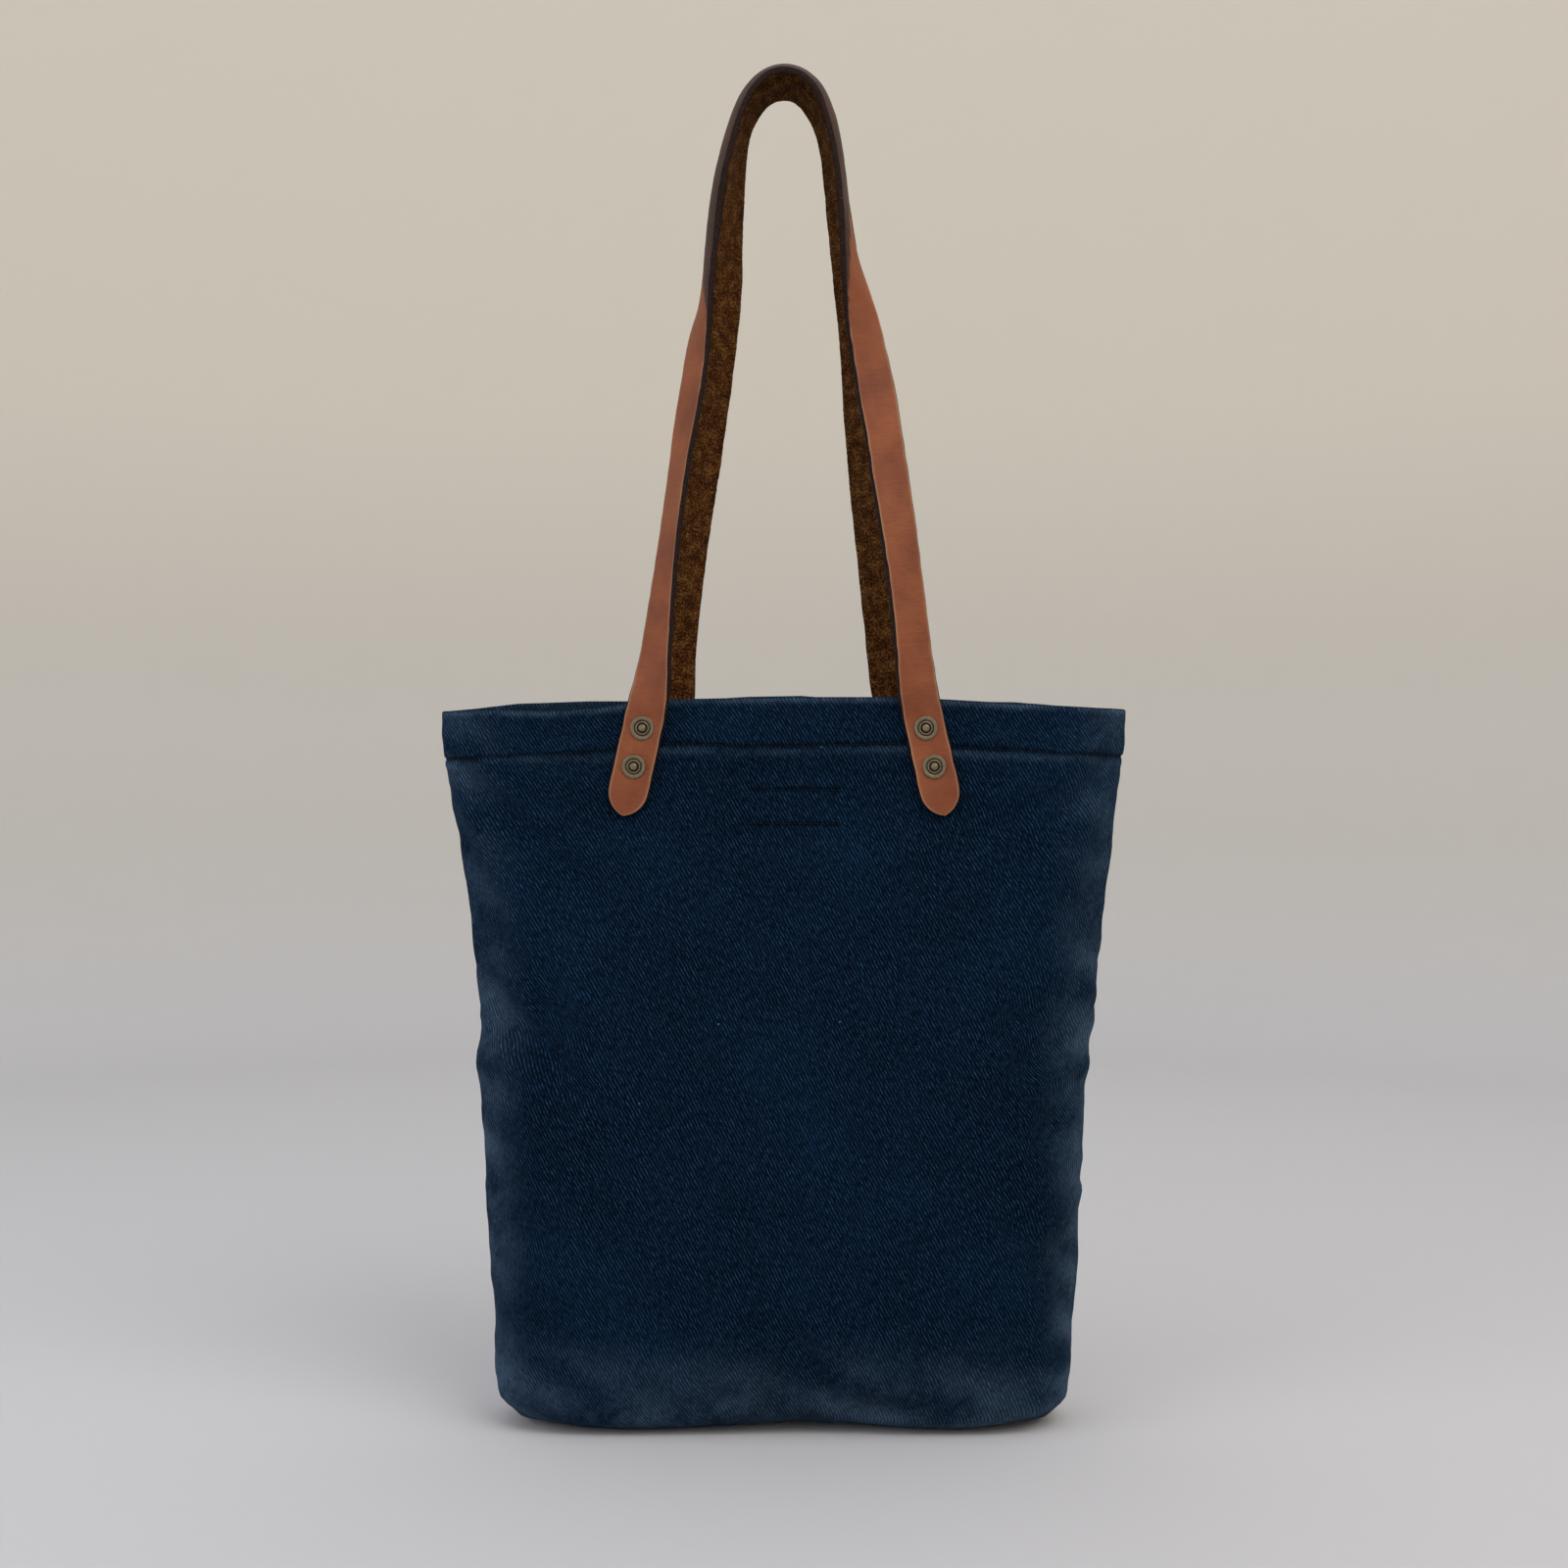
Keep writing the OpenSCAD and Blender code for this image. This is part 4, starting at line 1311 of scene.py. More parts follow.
    def wear(self, grid: np.ndarray, u: np.ndarray, depth: np.ndarray) -> np.ndarray:
        """How much paler the cloth is, from 0 to 1: along the rim, below the hem's stitches, towards the
        bottom, and as a painted sheen along the sides.

        Args:
            grid: Points (rows, columns).
            u: Place of each column across the flat cloth.
            depth: Distance of each row below the rim.

        Returns:
            One value to each point.
        """
        d, uu = depth[:, None] / MM, u[None, :] / MM
        rough = 0.65 + 0.18 * waves(31, 24, 4, 30, uu, d) + 0.38 * waves(37, 16, 25, 90, uu, d)
        rim = 0.75 * bump(d / 2.0)
        ridge = 0.34 * bump((d - self.stitch_depth(u) / MM - 4) / 2.0)
        up = grid[..., 2] / MM
        # Painted sheen: the sides, where the cloth turns away, are made paler
        side = 0.85 * smooth((np.abs(uu) - 140) / 44) * (0.45 + 0.55 * smooth((330 - up) / 150))
        low = 0.58 * smooth((64 - up) / 58) + 0.30 * smooth((16 - up) / 14)
        return np.clip((rim + ridge + side + low) * np.maximum(rough, 0.12), 0, 1)

    def on_line(self, depths: np.ndarray) -> tuple[np.ndarray, np.ndarray]:
        """Follows the outer face at one depth to each column.

        Args:
            depths: Distance below the rim at each column.

        Returns:
            Points and outward normals.
        """
        at = np.interp(depths, self.depths, np.arange(len(self.depths)))
        low = at.astype(int)
        part = (at - low)[:, None]
        col = np.arange(len(depths))
        return tuple(a[low, col] * (1 - part) + a[low + 1, col] * part for a in (self.points, self.normals))

    def stitch_line(self, z: float, start: float, end: float, count: int) -> tuple[np.ndarray, np.ndarray]:
        """A row on the outer face at a height, between two places across.

        Args:
            z: Height in metres.
            start: First place across.
            end: Last place across.
            count: Number of points.

        Returns:
            Points and outward normals.
        """
        row = int(np.argmin(np.abs(self.depths - (self.cloth.shape.rim - z))))
        order = np.argsort(self.points[row, :, 0])
        xs = np.linspace(start, end, count)
        points, normals = (np.stack([np.interp(xs, self.points[row, order, 0], a[row, order, k])
                                     for k in range(3)], -1) for a in (self.points, self.normals))
        return points, unit(normals)


@dataclass
class SeamAllowances:
    """The two edges of cloth pressed together inside each seam, sewn and left standing inward."""

    cloth: FilledCloth
    width: float = 10 * MM
    base_width: float = 8.4 * MM
    corner_width: float = 5.5 * MM
    thickness: float = 2.6 * MM
    # How far inside the side seams the allowances start, and their height at the bottom and the corners
    inset: float = 3.4 * MM
    base_up: float = 3.0 * MM
    corner_up: float = 5.2 * MM
    wear: float = 0.4

    def strip(self, name: str, path: np.ndarray, inward: np.ndarray, through: np.ndarray,
              finish: bpy.types.Material, width: float, seed: int) -> bpy.types.Object:
        """Makes one strip of doubled cloth along a path.

        Args:
            name: Name of the piece.
            path: Points of its sewn edge.
            inward: Direction in which it stands.
            through: Direction of its thickness.
            finish: The twill.
            width: How far it stands.
            seed: Seed of its waviness.

        Returns:
            The piece.
        """
        way = np.concatenate([[0], np.cumsum(np.linalg.norm(np.diff(path, axis=0), axis=1))]) / MM
        half = self.thickness / 2
        section = [(0.0, -1.0), (0.25, -1.0), (0.5, -1.0), (0.75, -1.0), (0.94, -0.95), (1.0, -0.6),
                   (0.985, 0.0), (1.0, 0.6), (0.94, 0.95), (0.75, 1.0), (0.5, 1.0), (0.25, 1.0), (0.0, 1.0)]
        sway = waves(seed, 6, 25, 80, way, way * 0) * 0.55 * MM
        fray = waves(seed + 1, 9, 3, 11, way, way * 0) * 0.12 * MM
        rings = np.stack([path + inward * (s * width + fray * (s > 0.9))[:, None]
                          + through * (h * half * (1 - 0.15 * s) + sway * s ** 2)[:, None]
                          for s, h in section], 1)
        n, k = rings.shape[:2]
        faces = [*grid_faces(n, k, closed=True), *end_faces(n, k)]
        uv = np.stack(np.broadcast_arrays((np.arange(k) * 2 * width / k)[None, :], (way * MM)[:, None]), -1)
        piece = make_object(name, rings.reshape(-1, 3), faces, uv.reshape(-1, 2))
        outward(piece)
        paint(piece, "wear", np.full(len(piece.data.vertices), self.wear))
        piece.data.materials.append(finish)
        return piece

    def build(self, finish: bpy.types.Material) -> list:
        """Makes the side, bottom and corner allowances.

        Args:
            finish: The twill.

        Returns:
            Pairs of piece and the CAD node that it stands for.
        """
        x_way, y_way, z_way = np.eye(3)
        runs = []
        for name, column, sign, seed in (("side_seam_left", 0, -1, 41), ("side_seam_right", 80, 1, 51)):
            path = along(self.cloth.wall[:, column], np.linspace(8, 78, 150)) - x_way * sign * self.inset
            runs.append((name, path, -sign * x_way, y_way, self.width, seed))
        lo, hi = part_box("base_seam")
        xs = np.linspace(lo[0], hi[0], 130)
        path = np.stack([xs, xs * 0, xs * 0 + self.base_up], -1)
        runs.append(("base_seam", path, z_way, y_way, self.base_width, 61))
        for name, seed in (("corner_seam_left", 71), ("corner_seam_right", 81)):
            lo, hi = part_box(name)
            ys = np.linspace(lo[1], hi[1], 40)
            path = np.stack([ys * 0 + (lo[0] + hi[0]) / 2, ys, ys * 0 + self.corner_up], -1)
            runs.append((name, path, z_way, x_way, self.corner_width, seed))
        return [(self.strip(f"{name}_allowance", path, inward, through, finish, width, seed), name)
                for name, path, inward, through, width, seed in runs]


@dataclass
class InnerLabel:
    """Blank woven tape sewn inside the front, where the CAD's label is."""

    thickness: float = 0.7 * MM
    across: int = 51
    upward: int = 25

    def build(self, finish: bpy.types.Material) -> bpy.types.Object:
        """Makes the tape, a little wavy, its edges pressed to the cloth.

        Args:
            finish: The woven tape.

        Returns:
            The piece.
        """
        lo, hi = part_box("inner_label")
        x, z = np.meshgrid(np.linspace(lo[0], hi[0], self.across), np.linspace(lo[2], hi[2], self.upward))
        y = lo[1] + 0.15 * MM + waves(91, 8, 9, 25, x / MM, z / MM) * 0.08 * MM
        edge = np.minimum(np.minimum(x - lo[0], hi[0] - x), np.minimum(z - lo[2], hi[2] - z))
        y = y - 0.15 * MM * bump(edge / (0.7 * MM))
        points = np.stack([x, y, z], -1)
        uv = np.stack([x - lo[0], z - lo[2]], -1).reshape(-1, 2)
        piece = make_object("blank_inner_label", points.reshape(-1, 3),
                            grid_faces(self.upward, self.across), uv)
        piece.data.materials.append(finish)
        tape = piece.modifiers.new("tape_thickness", "SOLIDIFY")
        tape.thickness, tape.offset = self.thickness, -1.0
        apply_modifiers(piece)
        outward(piece)
        return piece


@dataclass
class Stitching:
    """Lockstitch rows round the mouth and round the label."""

    repeater: Repeater
    pitch: float = 3.0 * MM
    length: float = 2.5 * MM
    radius: float = 0.24 * MM
    dip: float = 0.3 * MM
    proud: float = 0.12 * MM

    def row(self, name: str, lines: list, finish: bpy.types.Material, closed: bool,
            seed: int) -> bpy.types.Object:
        """Sets stitches along several rows.

        Args:
            name: Name of the piece.
            lines: Pairs of points and outward normals.
            finish: The thread.
            closed: Whether the rows join into one ring.
            seed: Seed of their unevenness.

        Returns:
            The piece.
        """
        points = np.concatenate([p + n * self.proud for p, n in lines])
        facing = np.concatenate([n for _, n in lines])
        edges, start = [], 0
        for p, _ in lines:
            edges += [(start + i, start + i + 1) for i in range(len(p) - 1)]
            start += len(p)
        if closed:
            first = len(lines[0][0])
            edges += [(first - 1, start - 1), (first, 0)]
        return self.repeater.build(name, points, facing, capsule(self.length, self.radius, self.dip), finish,
                                   lines=edges, pitch=self.pitch, tilt=0.07, uneven=0.15, seed=seed)


# ---- Handles ----


@dataclass
class LeatherHandle:
    """One strap from rounded tip to rounded tip, riveted at both ends and turned on its way up.

    Each leg, left then right, has rows of height, distance from the middle, turn and curl, in
    millimetres and degrees.
    """

    side: Side
    width: float = 21.5 * MM
    thickness: float = 3.0 * MM
    tip: float = 14 * MM
    tab: float = 69 * MM
    step: float = 1.7 * MM
    fold_z: float = 401 * MM
    apexes: dict = field(default_factory=lambda: {Side.FRONT: 744.8 * MM, Side.BACK: 743.2 * MM})
    stand: float = 18.05 * MM
    # How deep the rivets press the leather in, and how far round them
    press: float = 0.35 * MM
    press_round: float = 7.5 * MM
    legs: dict = field(default_factory=lambda: {
        Side.FRONT: (
            ((386, 76.3, 4, 0.2), (401, 73, 20, 0.2), (413, 71.3, 34, 0.3), (426, 69.6, 44, 0.3),
             (449, 67.0, 52, 0.3), (472, 64.3, 58, 0.3), (496, 61.3, 61, 0.3), (519, 58.2, 61, 0.3),
             (543, 54.8, 57, 0.3), (566, 50.9, 54.5, 0.3), (579, 49.0, 55, 0.4), (592, 47.6, 59, 0.7),
             (602, 46.4, 64, 1.1), (613, 44.9, 73, 1.9), (624, 43.7, 82, 2.9), (636, 42.7, 85, 3.6),
             (653, 41.3, 86, 3.9), (666, 39.9, 86, 4.0), (679, 38.0, 86, 4.0), (691, 35.5, 86, 4.0),
             (703.5, 32.3, 86, 4.0), (716, 28.4, 86, 4.0), (726, 24.5, 86, 4.0), (734.6, 19.0, 86, 4.0),
             (742.2, 10.4, 86, 4.0)),
            ((386, 76.3, 3, 0.2), (401, 73.2, 14, 0.2), (413, 71.8, 22, 0.3), (426, 70.3, 27, 0.3),
             (449, 67.9, 30, 0.3), (472, 65.0, 29, 0.3), (496, 61.8, 26, 0.3), (519, 58.3, 23, 0.3),
             (543, 54.9, 21, 0.3), (566, 51.1, 21, 0.3), (579, 48.7, 23, 0.3), (592, 46.1, 27, 0.4),
             (604, 44.0, 34, 0.7), (615, 42.1, 43, 1.2), (626, 40.4, 54, 1.7), (637, 38.8, 65, 2.2),
             (653, 36.4, 78, 2.5), (666, 34.7, 84, 2.6), (679, 33.4, 85, 2.7), (691, 32.0, 86, 3.0),
             (703.5, 30.1, 86, 3.4), (716, 27.6, 86, 3.8), (726, 24.0, 86, 4.0), (734.6, 19.6, 86, 4.0),
             (742.2, 10.8, 86, 4.0))),
        Side.BACK: (
            ((386, 64.3, 2, 0.2), (401, 61.6, 10, 0.2), (413, 61.2, 22, 0.3), (428, 60.2, 31, 0.3),
             (452, 57.0, 40, 0.3), (476, 53.6, 44, 0.3), (501, 50.0, 45, 0.3), (524, 46.3, 43, 0.3),
             (549, 42.6, 42, 0.3), (573, 39.3, 42, 0.3), (590, 37.0, 42, 0.3), (606, 35.0, 42, 0.4),
             (625, 33.2, 45, 0.5), (645, 32.0, 51, 0.7), (662, 31.0, 57, 0.8), (675, 30.0, 62, 0.9),
             (688, 28.8, 66, 1.0), (701, 27.4, 70, 1.0), (714, 25.3, 74, 1.0), (724, 22.2, 76, 1.0),
             (733, 16.9, 77, 1.0), (740.6, 9.6, 78, 1.0)),
            ((386, 64.3, 2, 0.2), (401, 61.0, 8, 0.2), (413, 59.4, 16, 0.3), (428, 57.4, 25, 0.3),
             (452, 54.3, 35, 0.3), (476, 51.0, 42, 0.3), (501, 47.9, 46, 0.3), (524, 45.3, 48, 0.3),
             (549, 43.0, 49, 0.3), (573, 41.3, 50, 0.3), (590, 40.2, 51, 0.3), (606, 39.0, 52, 0.4),
             (625, 36.8, 54, 0.5), (645, 34.4, 57, 0.6), (662, 32.4, 60, 0.7), (675, 30.8, 63, 0.8),
             (688, 29.2, 67, 0.9), (701, 27.3, 71, 1.0), (714, 24.5, 75, 1.0), (724, 21.0, 77, 1.0),
             (733, 16.4, 77, 1.0), (740.6, 9.4, 78, 1.0)))})
    # Heights, and how far in from the front edge the dark has crept there, both in millimetres, for
    # the left and the right leg; below the last field's height hands have left the grain tan
    dark: tuple = (((596, 0), (608, 1.5), (618, 4), (628, 8), (640, 14), (655, 22), (800, 30)),
                   ((596, 0), (615, 1.0), (640, 3.0), (656, 5.5), (668, 9), (682, 16), (698, 24), (800, 30)))

    tan_below: float = 560

    def centre_line(self) -> np.ndarray:
        """Middle of the strap from the left tip to the right one.

        Returns:
            Rows of distance across, height, turn in radians, curl and distance along from the left tip.
        """
        parts = []
        for sign, leg in zip((-1, 1), self.legs[self.side]):
            t = np.linspace(self.tab, 22 * MM, 9) / MM
            tab = np.stack([LEG_X[self.side] / MM + t * math.sin(LEAN), self.fold_z / MM - t * math.cos(LEAN),
                            t * 0, t * 0 + 0.2], -1)
            both = np.concatenate([tab, [(x, z, a, c) for z, x, a, c in leg]])
            both[:, 0] *= sign
            parts.append(both)
        left, right = parts
        top = np.array([[0.0, self.apexes[self.side] / MM, left[-1, 2], left[-1, 3]]])
        line = np.concatenate([left, top, right[::-1]])
        dense = along(line, np.linspace(0, len(line) - 1, 6000))
        way = np.concatenate([[0], np.cumsum(np.linalg.norm(np.diff(dense[:, :2], axis=0), axis=1))]) * MM
        end = way[-1]
        fine = np.array([0.15, 0.4, 0.8, 1.3]) * MM
        at = np.concatenate([fine, np.arange(2 * MM, end - 2 * MM, self.step), end - fine[::-1]])
        dense = np.stack([np.interp(at, way, dense[:, k]) for k in range(4)], -1)
        for _ in range(16):
            dense[6:-6] = 0.25 * dense[5:-7] + 0.5 * dense[6:-6] + 0.25 * dense[7:-5]
        return np.concatenate([dense[:, :2] * MM, np.radians(dense[:, 2:3]), dense[:, 3:] * MM,
                               at[:, None]], 1)

    def frames(self) -> dict:
        """Place and directions of the strap at each step.

        Returns:
            Arrays by name: middle, across, grain, way, curl, half (width) and at (distance along).
        """
        line = self.centre_line()
        flat, turn, curl, at = line[:, :2], line[:, 2], line[:, 3], line[:, 4]
        sign = self.side.value
        z = flat[:, 1]
        risen = smooth((z - self.fold_z) / (225 * MM))
        way = np.gradient(flat, axis=0)
        way = unit(np.stack([way[:, 0], way[:, 0] * 0, way[:, 1]], -1))
        out = np.cross(way, (0.0, 1.0, 0.0))
        depth = np.array((0.0, 1.0, 0.0)) * -sign
        s, c = np.sin(turn)[:, None], np.cos(turn)[:, None]
        across = depth * s + out * c
        grain = -depth * c + out * s
        reach = 1.15 * MM + self.width / 2 * s[:, 0] + (self.thickness / 2 + curl) * c[:, 0]
        # While it turns, the strap's inner edge keeps clear of the rim below it
        clear = self.stand + 0.4 * self.width / 2 * s[:, 0]
        off = clear * (1 - risen) + reach * risen
        middle = np.stack([flat[:, 0], sign * off, z], -1)
        total = at[-1]
        along_tip = np.minimum(at, total - at)
        half = self.width / 2
        bow = (half ** 2 + self.tip ** 2) / (2 * half)
        into = np.clip(self.tip - along_tip, 0, self.tip)
        halves = np.sqrt(bow ** 2 - into ** 2) - (bow - half)
        wobble = waves(7 + sign, 8, 12, 60, at / MM, at * 0) * 0.18 * MM
        halves = np.maximum(halves + wobble * (along_tip > self.tip), 0.45 * MM)
        return {"middle": middle, "across": across, "grain": grain, "curl": curl, "half": halves, "at": at,
                "way": way}

    def build(self, finishes: tuple) -> bpy.types.Object:
        """Makes the strap.

        Args:
            finishes: Grain, flesh and edge.

        Returns:
            The piece.
        """
        f = self.frames()
        t = self.thickness / 2
        ups = np.sin(np.linspace(-math.pi / 2, math.pi / 2, 17))
        # The cut edge flares out below the grain, dark beside its pale arris; the dark flare is the edge and
        # also a painted shadow beside the strap
        edge = [(0.88, -0.05), (0.60, -0.45), (0.25, -0.65), (-0.25, -0.7), (-0.62, -0.6), (-0.93, -0.3)]
        # Each point of the section: shares of the half width and the half thickness, inset in mm, finish
        section = [(u, 1.0, 0.2 * abs(u) ** 12, 0) for u in ups]
        section += [(1.0, h, i, 2) for h, i in edge]
        section += [(u, -1.0, -0.1 * abs(u) ** 12, 1) for u in ups[::-1]]
        section += [(-1.0, h, i, 2) for h, i in edge[::-1]]
        n, k = len(f["at"]), len(section)
        at = f["at"] / MM
        points, uv, rub = np.zeros((n, k, 3)), np.zeros((n, k, 2)), np.zeros((n, k))
        for j, (u, h, inset, _) in enumerate(section):
            v = u * np.maximum(f["half"] - inset * MM, 0.25 * MM)
            share = v / (self.width / 2)
            lift = h * t - f["curl"] * share ** 2
            face = 11 if h > 0.5 else 12 if h < -0.5 else 13
            rough = waves(face + self.side.value, 26, 2.5, 16, at, v / MM) * (0.05 if h > 0.5 else 0.12)
            if h < -0.5:
                rough = rough + waves(19, 20, 1.5, 4, at, v / MM) * 0.08
            lift = lift + rough * MM
            points[:, j] = f["middle"] + f["across"] * v[:, None] + f["grain"] * lift[:, None]
            uv[:, j] = np.stack([v if abs(h) > 0.9 else np.full(n, 0.02 + h * t), f["at"]], -1)
            # A thin line along the grain's edges, for its rubbed grain and painted highlight
            rub[:, j] = bump((1 - abs(u)) * f["half"] / (0.75 * MM)) * (h > 0.9)
        self.press_rivets(points)
        slots = [section[j][3] if section[j][3] == section[(j + 1) % k][3] else 2 for j in range(k)]
        indices = np.tile(slots, n - 1)
        faces = [*grid_faces(n, k, closed=True), *end_faces(n, k)]
        piece = make_object(f"{self.side.word}_leather_handle", points.reshape(-1, 3), faces,
                            uv.reshape(-1, 2))
        for finish in finishes:
            piece.data.materials.append(finish)
        piece.data.polygons.foreach_set("material_index", np.concatenate([indices, [2, 2]]).astype(np.int32))
        outward(piece)
        z, x = points[..., 2] / MM, points[..., 0]
        v = np.array([s[0] for s in section])[None, :]
        # Hands have darkened the upper part, starting from its front edge
        crept = np.where(x < 0, *(np.interp(z, *zip(*table)) for table in self.dark))
        blotch = waves(23, 24, 5, 40, at[:, None], v * 10) * 0.5
        from_edge = (1 + v) * self.width / 2 / MM
        paint(piece, "patina", smooth((crept + blotch - from_edge) / 2.2 + 0.5) * (z > self.tan_below))
        paint(piece, "rub", rub)
        return piece

    def press_rivets(self, points: np.ndarray) -> None:
        """Presses the leather in a little round each rivet.

        Args:
            points: Points of the strap, which are changed.
        """
        for x, z in self.rivets():
            away = np.hypot(points[..., 0] - x, points[..., 2] - z)
            dent = self.press * bump(away / self.press_round) * (points[..., 2] < self.fold_z)
            points[..., 1] -= self.side.value * dent

    def rivets(self) -> list:
        """Finds the handle's four rivets.

        Returns:
            Their places (x, z).
        """
        found = []
        for side in ("left", "right"):
            for level in ("upper", "lower"):
                lo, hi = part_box(f"rivet_{self.side.word}_{side}_{level}")
                found.append(((lo[0] + hi[0]) / 2, (lo[2] + hi[2]) / 2))
        return found

    def fibres(self, repeater: Repeater, finish: bpy.types.Material,
               count: int = 1500) -> bpy.types.Object:
        """Makes the short fibres that stand out along the cut edges and on the flesh side.

        Args:
            repeater: Maker of copies.
            finish: The fibres' finish.
            count: Number of fibres.

        Returns:
            The piece.
        """
        f = self.frames()
        rng = np.random.default_rng(101 + self.side.value)
        i = rng.integers(12, len(f["at"]) - 12, count)
        edge = rng.random(count) < 0.72
        sign = rng.choice((-1.0, 1.0), count)
        share = np.where(edge, sign, rng.uniform(-0.96, 0.96, count))
        deep = np.where(edge, rng.uniform(-1.0, 0.1, count), -1.0)
        v = share * f["half"][i]
        lift = deep * self.thickness / 2 - f["curl"][i] * share ** 2
        points = f["middle"][i] + f["across"][i] * v[:, None] + f["grain"][i] * lift[:, None]
        aside = f["across"][i] * sign[:, None] * 0.8 - f["grain"][i] * 0.5
        out = np.where(edge[:, None], aside, -f["grain"][i])
        facing = unit(out + rng.normal(0, 0.55, (count, 3)))
        way = unit(f["way"][i] + rng.normal(0, 0.8, (count, 3)))
        return repeater.build(f"{self.side.word}_handle_fibres", points, facing,
                              capsule(1.1 * MM, 0.055 * MM, -0.3 * MM, 3), finish, way=way, tilt=0.5,
                              uneven=0.55, seed=5)


@dataclass
class RivetSet:
    """Eight rivets with ringed caps: head inside, post through cloth and strap, peened nub outside."""

    repeater: Repeater
    outer_y: float = 19.45 * MM
    # Radii between which the caps have fine radial teeth
    knurled: tuple = (4.6 * MM, 6.0 * MM)
    # Radius and height in millimetres, from the bottom's middle up to the top's middle
    cap_profile: tuple = ((0.001, 0), (6.3, 0), (6.55, 0.12), (6.6, 0.45), (6.5, 0.75), (6.25, 0.95),
                          (5.9, 1.0), (5.4, 1.05), (5.0, 1.0), (4.7, 0.92), (4.5, 0.7), (4.3, 0.45),
                          (4.05, 0.4), (3.85, 0.55), (3.7, 0.85), (3.45, 1.0), (3.15, 1.02), (2.9, 0.9),
                          (2.7, 0.6), (2.5, 0.42), (2.0, 0.36), (0.001, 0.36))
    rivet_profile: tuple = ((0.001, -7.3), (4.5, -7.3), (4.9, -7.1), (5.0, -6.7), (4.9, -6.3), (4.6, -6.2),
                            (1.6, -6.15), (1.6, 0.9), (2.1, 1.05), (2.15, 1.5), (2.0, 1.95), (1.6, 2.3),
                            (1.0, 2.5), (0.4, 2.56), (0.001, 2.57))

    def build(self, handles: list, finish: bpy.types.Material) -> list:
        """Makes the rivets and the caps.

        Args:
            handles: The handles that they hold.
            finish: The brass.

        Returns:
            Pairs of piece and the start of the names of the CAD nodes that it stands for.
        """
        places = [(x, h.side.value * self.outer_y, z) for h in handles for x, z in h.rivets()]
        facing = np.array([(0, h.side.value, 0) for h in handles for _ in range(4)], float)
        rng = np.random.default_rng(3)
        way = unit(np.stack([rng.normal(size=8), np.zeros(8), rng.normal(size=8)], -1))
        made = []
        for name, profile, kind, tilt in (("ringed_rivet_caps", self.cap_profile, "cap", 0.03),
                                          ("peened_rivets", self.rivet_profile, "rivet", 0.02)):
            template = lathe(name, [(r * MM, z * MM) for r, z in profile], self.knurled)
            made.append((self.repeater.build(name, np.array(places), facing, template, finish, way=way,
                                             tilt=tilt, seed=4), kind))
        return made


# ---- The bag ----


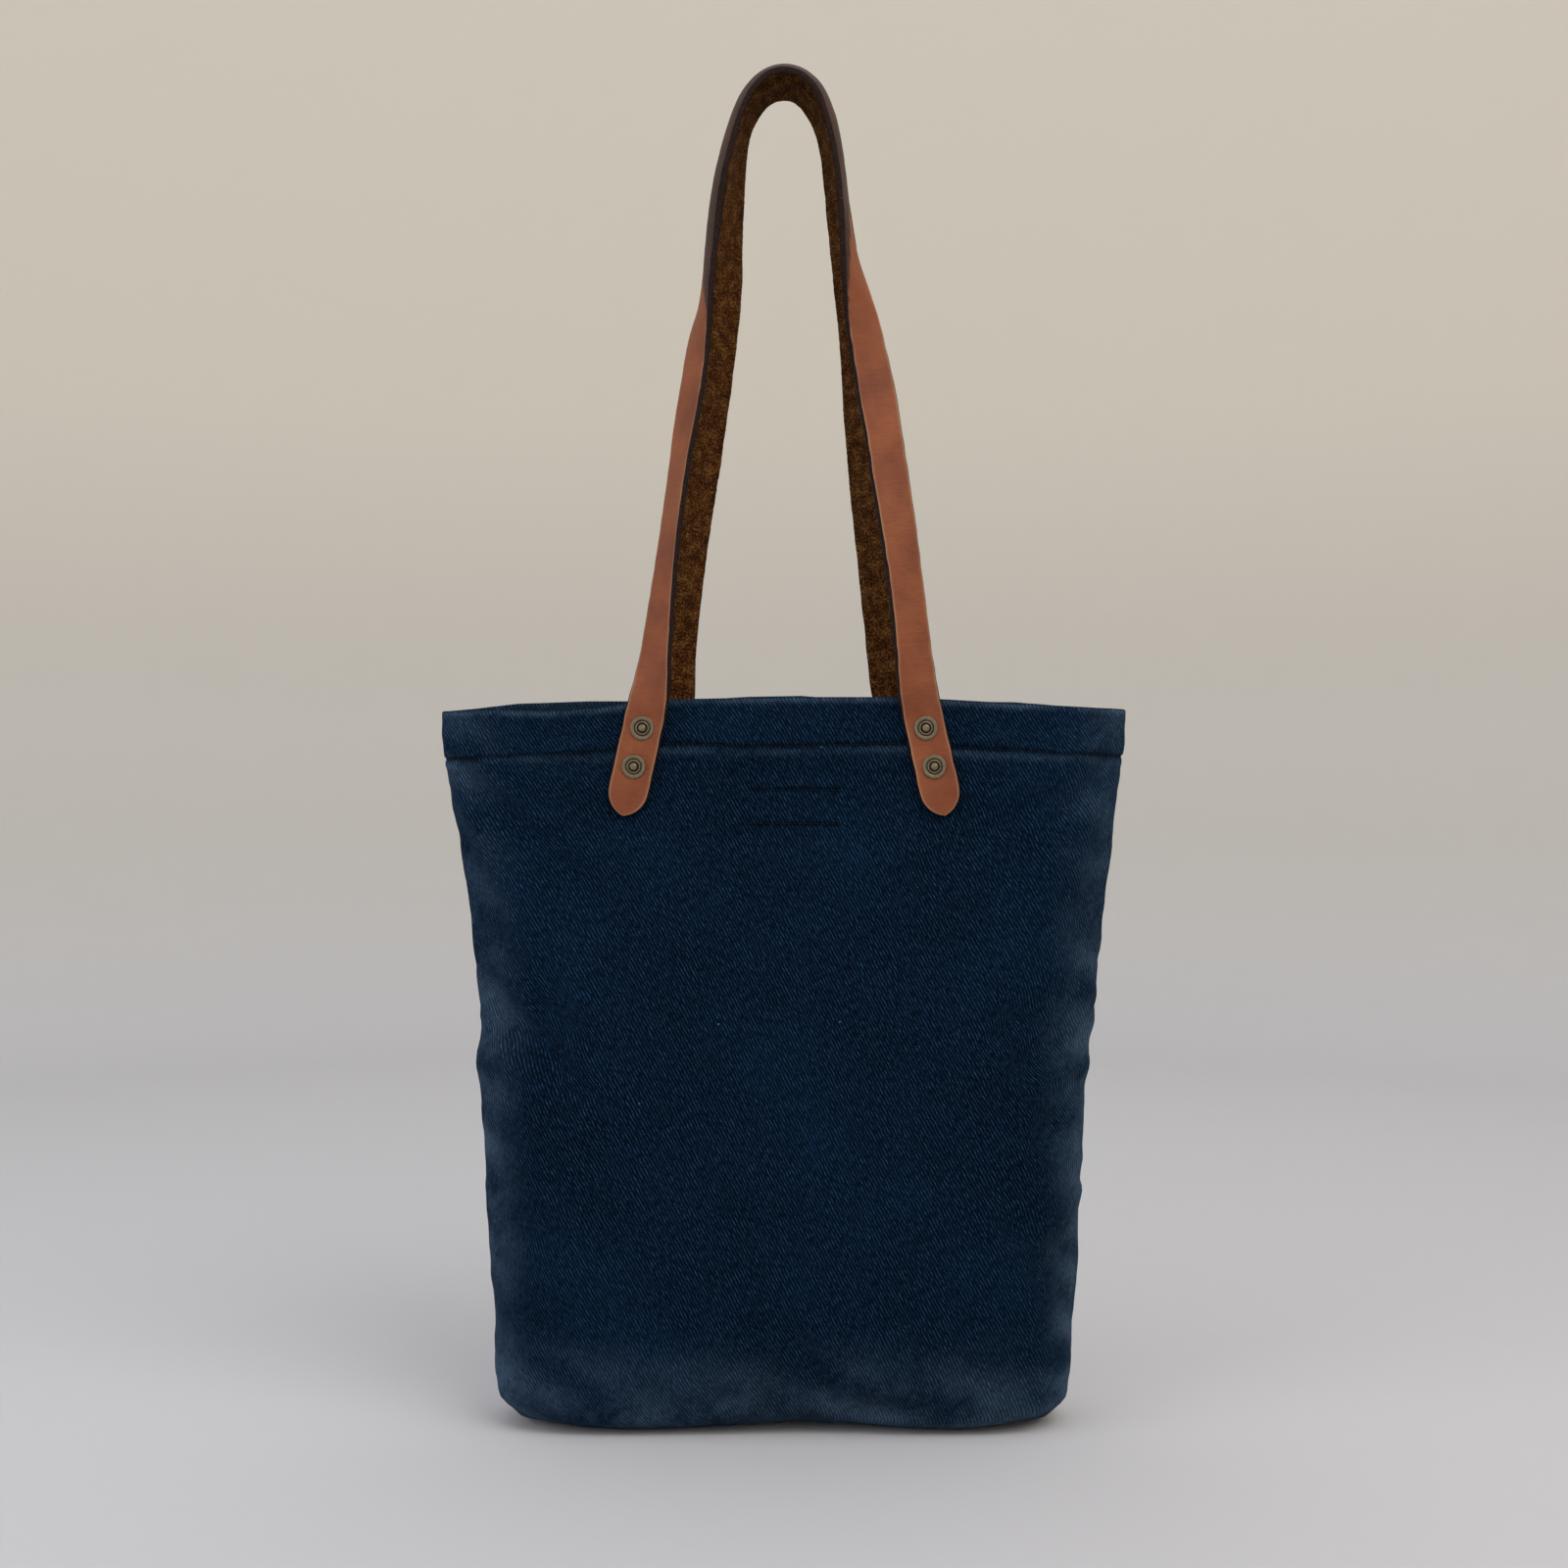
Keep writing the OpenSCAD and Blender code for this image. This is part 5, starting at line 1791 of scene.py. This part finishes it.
@dataclass
class BeachBag:
    """The whole bag: cloth first, then the stitching, the handles and the rivets."""

    repeater: Repeater = field(default_factory=Repeater)
    # Each panel is cut 380 mm wide and 464 mm long: wall 398, half the bottom 38, hem 28,
    # less a square of 38 mm at each lower corner, where the bottom is boxed
    panel_flat: tuple = (0.380, 0.464)
    panel_area: float = 0.1734
    label_flat: tuple = (0.050, 0.024)
    # Where the handles turn, and the heights between which their leather bends
    hinge_y: float = 19.7 * MM
    bend_from: float = 396 * MM
    bend_to: float = 410 * MM

    def __post_init__(self) -> None:
        """Makes the finishes."""
        self.twill = TwillFinish().build()
        self.leather = (GrainFinish().build(), FleshFinish().build(), EdgeFinish().build())
        self.brass = BrassFinish().build()
        self.thread = ThreadFinish("navy_polyester_thread", "#0c1826").build()
        self.fibre = ThreadFinish("loose_leather_fibre", "#a08058").build()
        self.tape = LabelFinish().build()

    def build(self) -> None:
        """Makes every piece, and ties all but the handles and their fibres to the bag's body."""
        cloth = FilledCloth(BagShape())
        cloth.simulate()
        allowances = SeamAllowances(cloth).build(self.twill)
        for piece, node in allowances:
            self.tie(piece, "twill", node)
        panels = {side: TwillPanel(side, cloth) for side in Side}
        label = InnerLabel().build(self.tape)
        self.tie(label, "label", "inner_label")
        for side, panel in panels.items():
            piece = panel.build(self.twill)
            self.tie(piece, "twill", f"{side.word}_panel", f"{side.word}_hem")
        self.stitch(panels)
        handles = [LeatherHandle(side) for side in Side]
        for handle in handles:
            self.hang(handle)
        for piece, kind in RivetSet(self.repeater).build(handles, self.brass):
            self.tie(piece, "brass", *[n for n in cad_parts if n.startswith(kind)])

    def tie(self, piece: bpy.types.Object, slot: str, *nodes: str) -> None:
        """Ties a piece to the bag's own body, and lets it stand for its CAD nodes.

        Args:
            piece: The piece.
            slot: Its material slot; not used.
            *nodes: Names of the nodes.
        """
        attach(piece, "bag")
        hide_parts(*nodes)
        self.report(piece)

    def report(self, piece: bpy.types.Object) -> None:
        """Reports a finished piece."""
        LOG.info("%s: %d faces", piece.name, len(piece.data.polygons))

    def stitch(self, panels: dict) -> None:
        """Sews the hem and the label.

        Args:
            panels: The two panels by side.
        """
        front = panels[Side.FRONT]
        maker = Stitching(self.repeater)
        rows = []
        for panel in panels.values():
            points, normals = panel.on_line(panel.stitch_depth(panel.columns)[0])
            rows.append((points[2:-2], normals[2:-2]))
        piece = maker.row("hem_stitches", rows, self.thread, True, 6)
        self.tie(piece, "thread", "hem_stitching")
        ends = [end * MM for end in front.label_ends]
        lines = [front.stitch_line(z * MM, *ends, 40) for z in front.label_rows]
        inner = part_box("inner_label")[1][1] + 0.05 * MM
        for points, normals in list(lines):
            inside = points.copy()
            inside[:, 1] = inner
            lines.append((inside, normals * 0 + (0, 1, 0)))
        piece = maker.row("label_stitches", lines, self.thread, False, 7)
        self.tie(piece, "thread", "label_stitching")

    def hang(self, handle: LeatherHandle) -> None:
        """Makes one handle, its strap shaped with a bend where it leaves the rim, and its loose fibres.

        Args:
            handle: Its sizes.
        """
        word = handle.side.word
        piece = handle.build(self.leather)
        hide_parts(f"{word}_handle_loop", f"{word}_strap_end_left", f"{word}_strap_end_right")
        fibres = handle.fibres(self.repeater, self.fibre)
        for part in (piece, fibres):
            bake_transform(part)
            self.report(part)


def main() -> None:
    """Builds the studio and the bag."""
    logging.basicConfig(level=logging.INFO, format="%(name)s %(message)s")
    Studio().build()
    BeachBag().build()


if __name__ == "__main__":
    main()
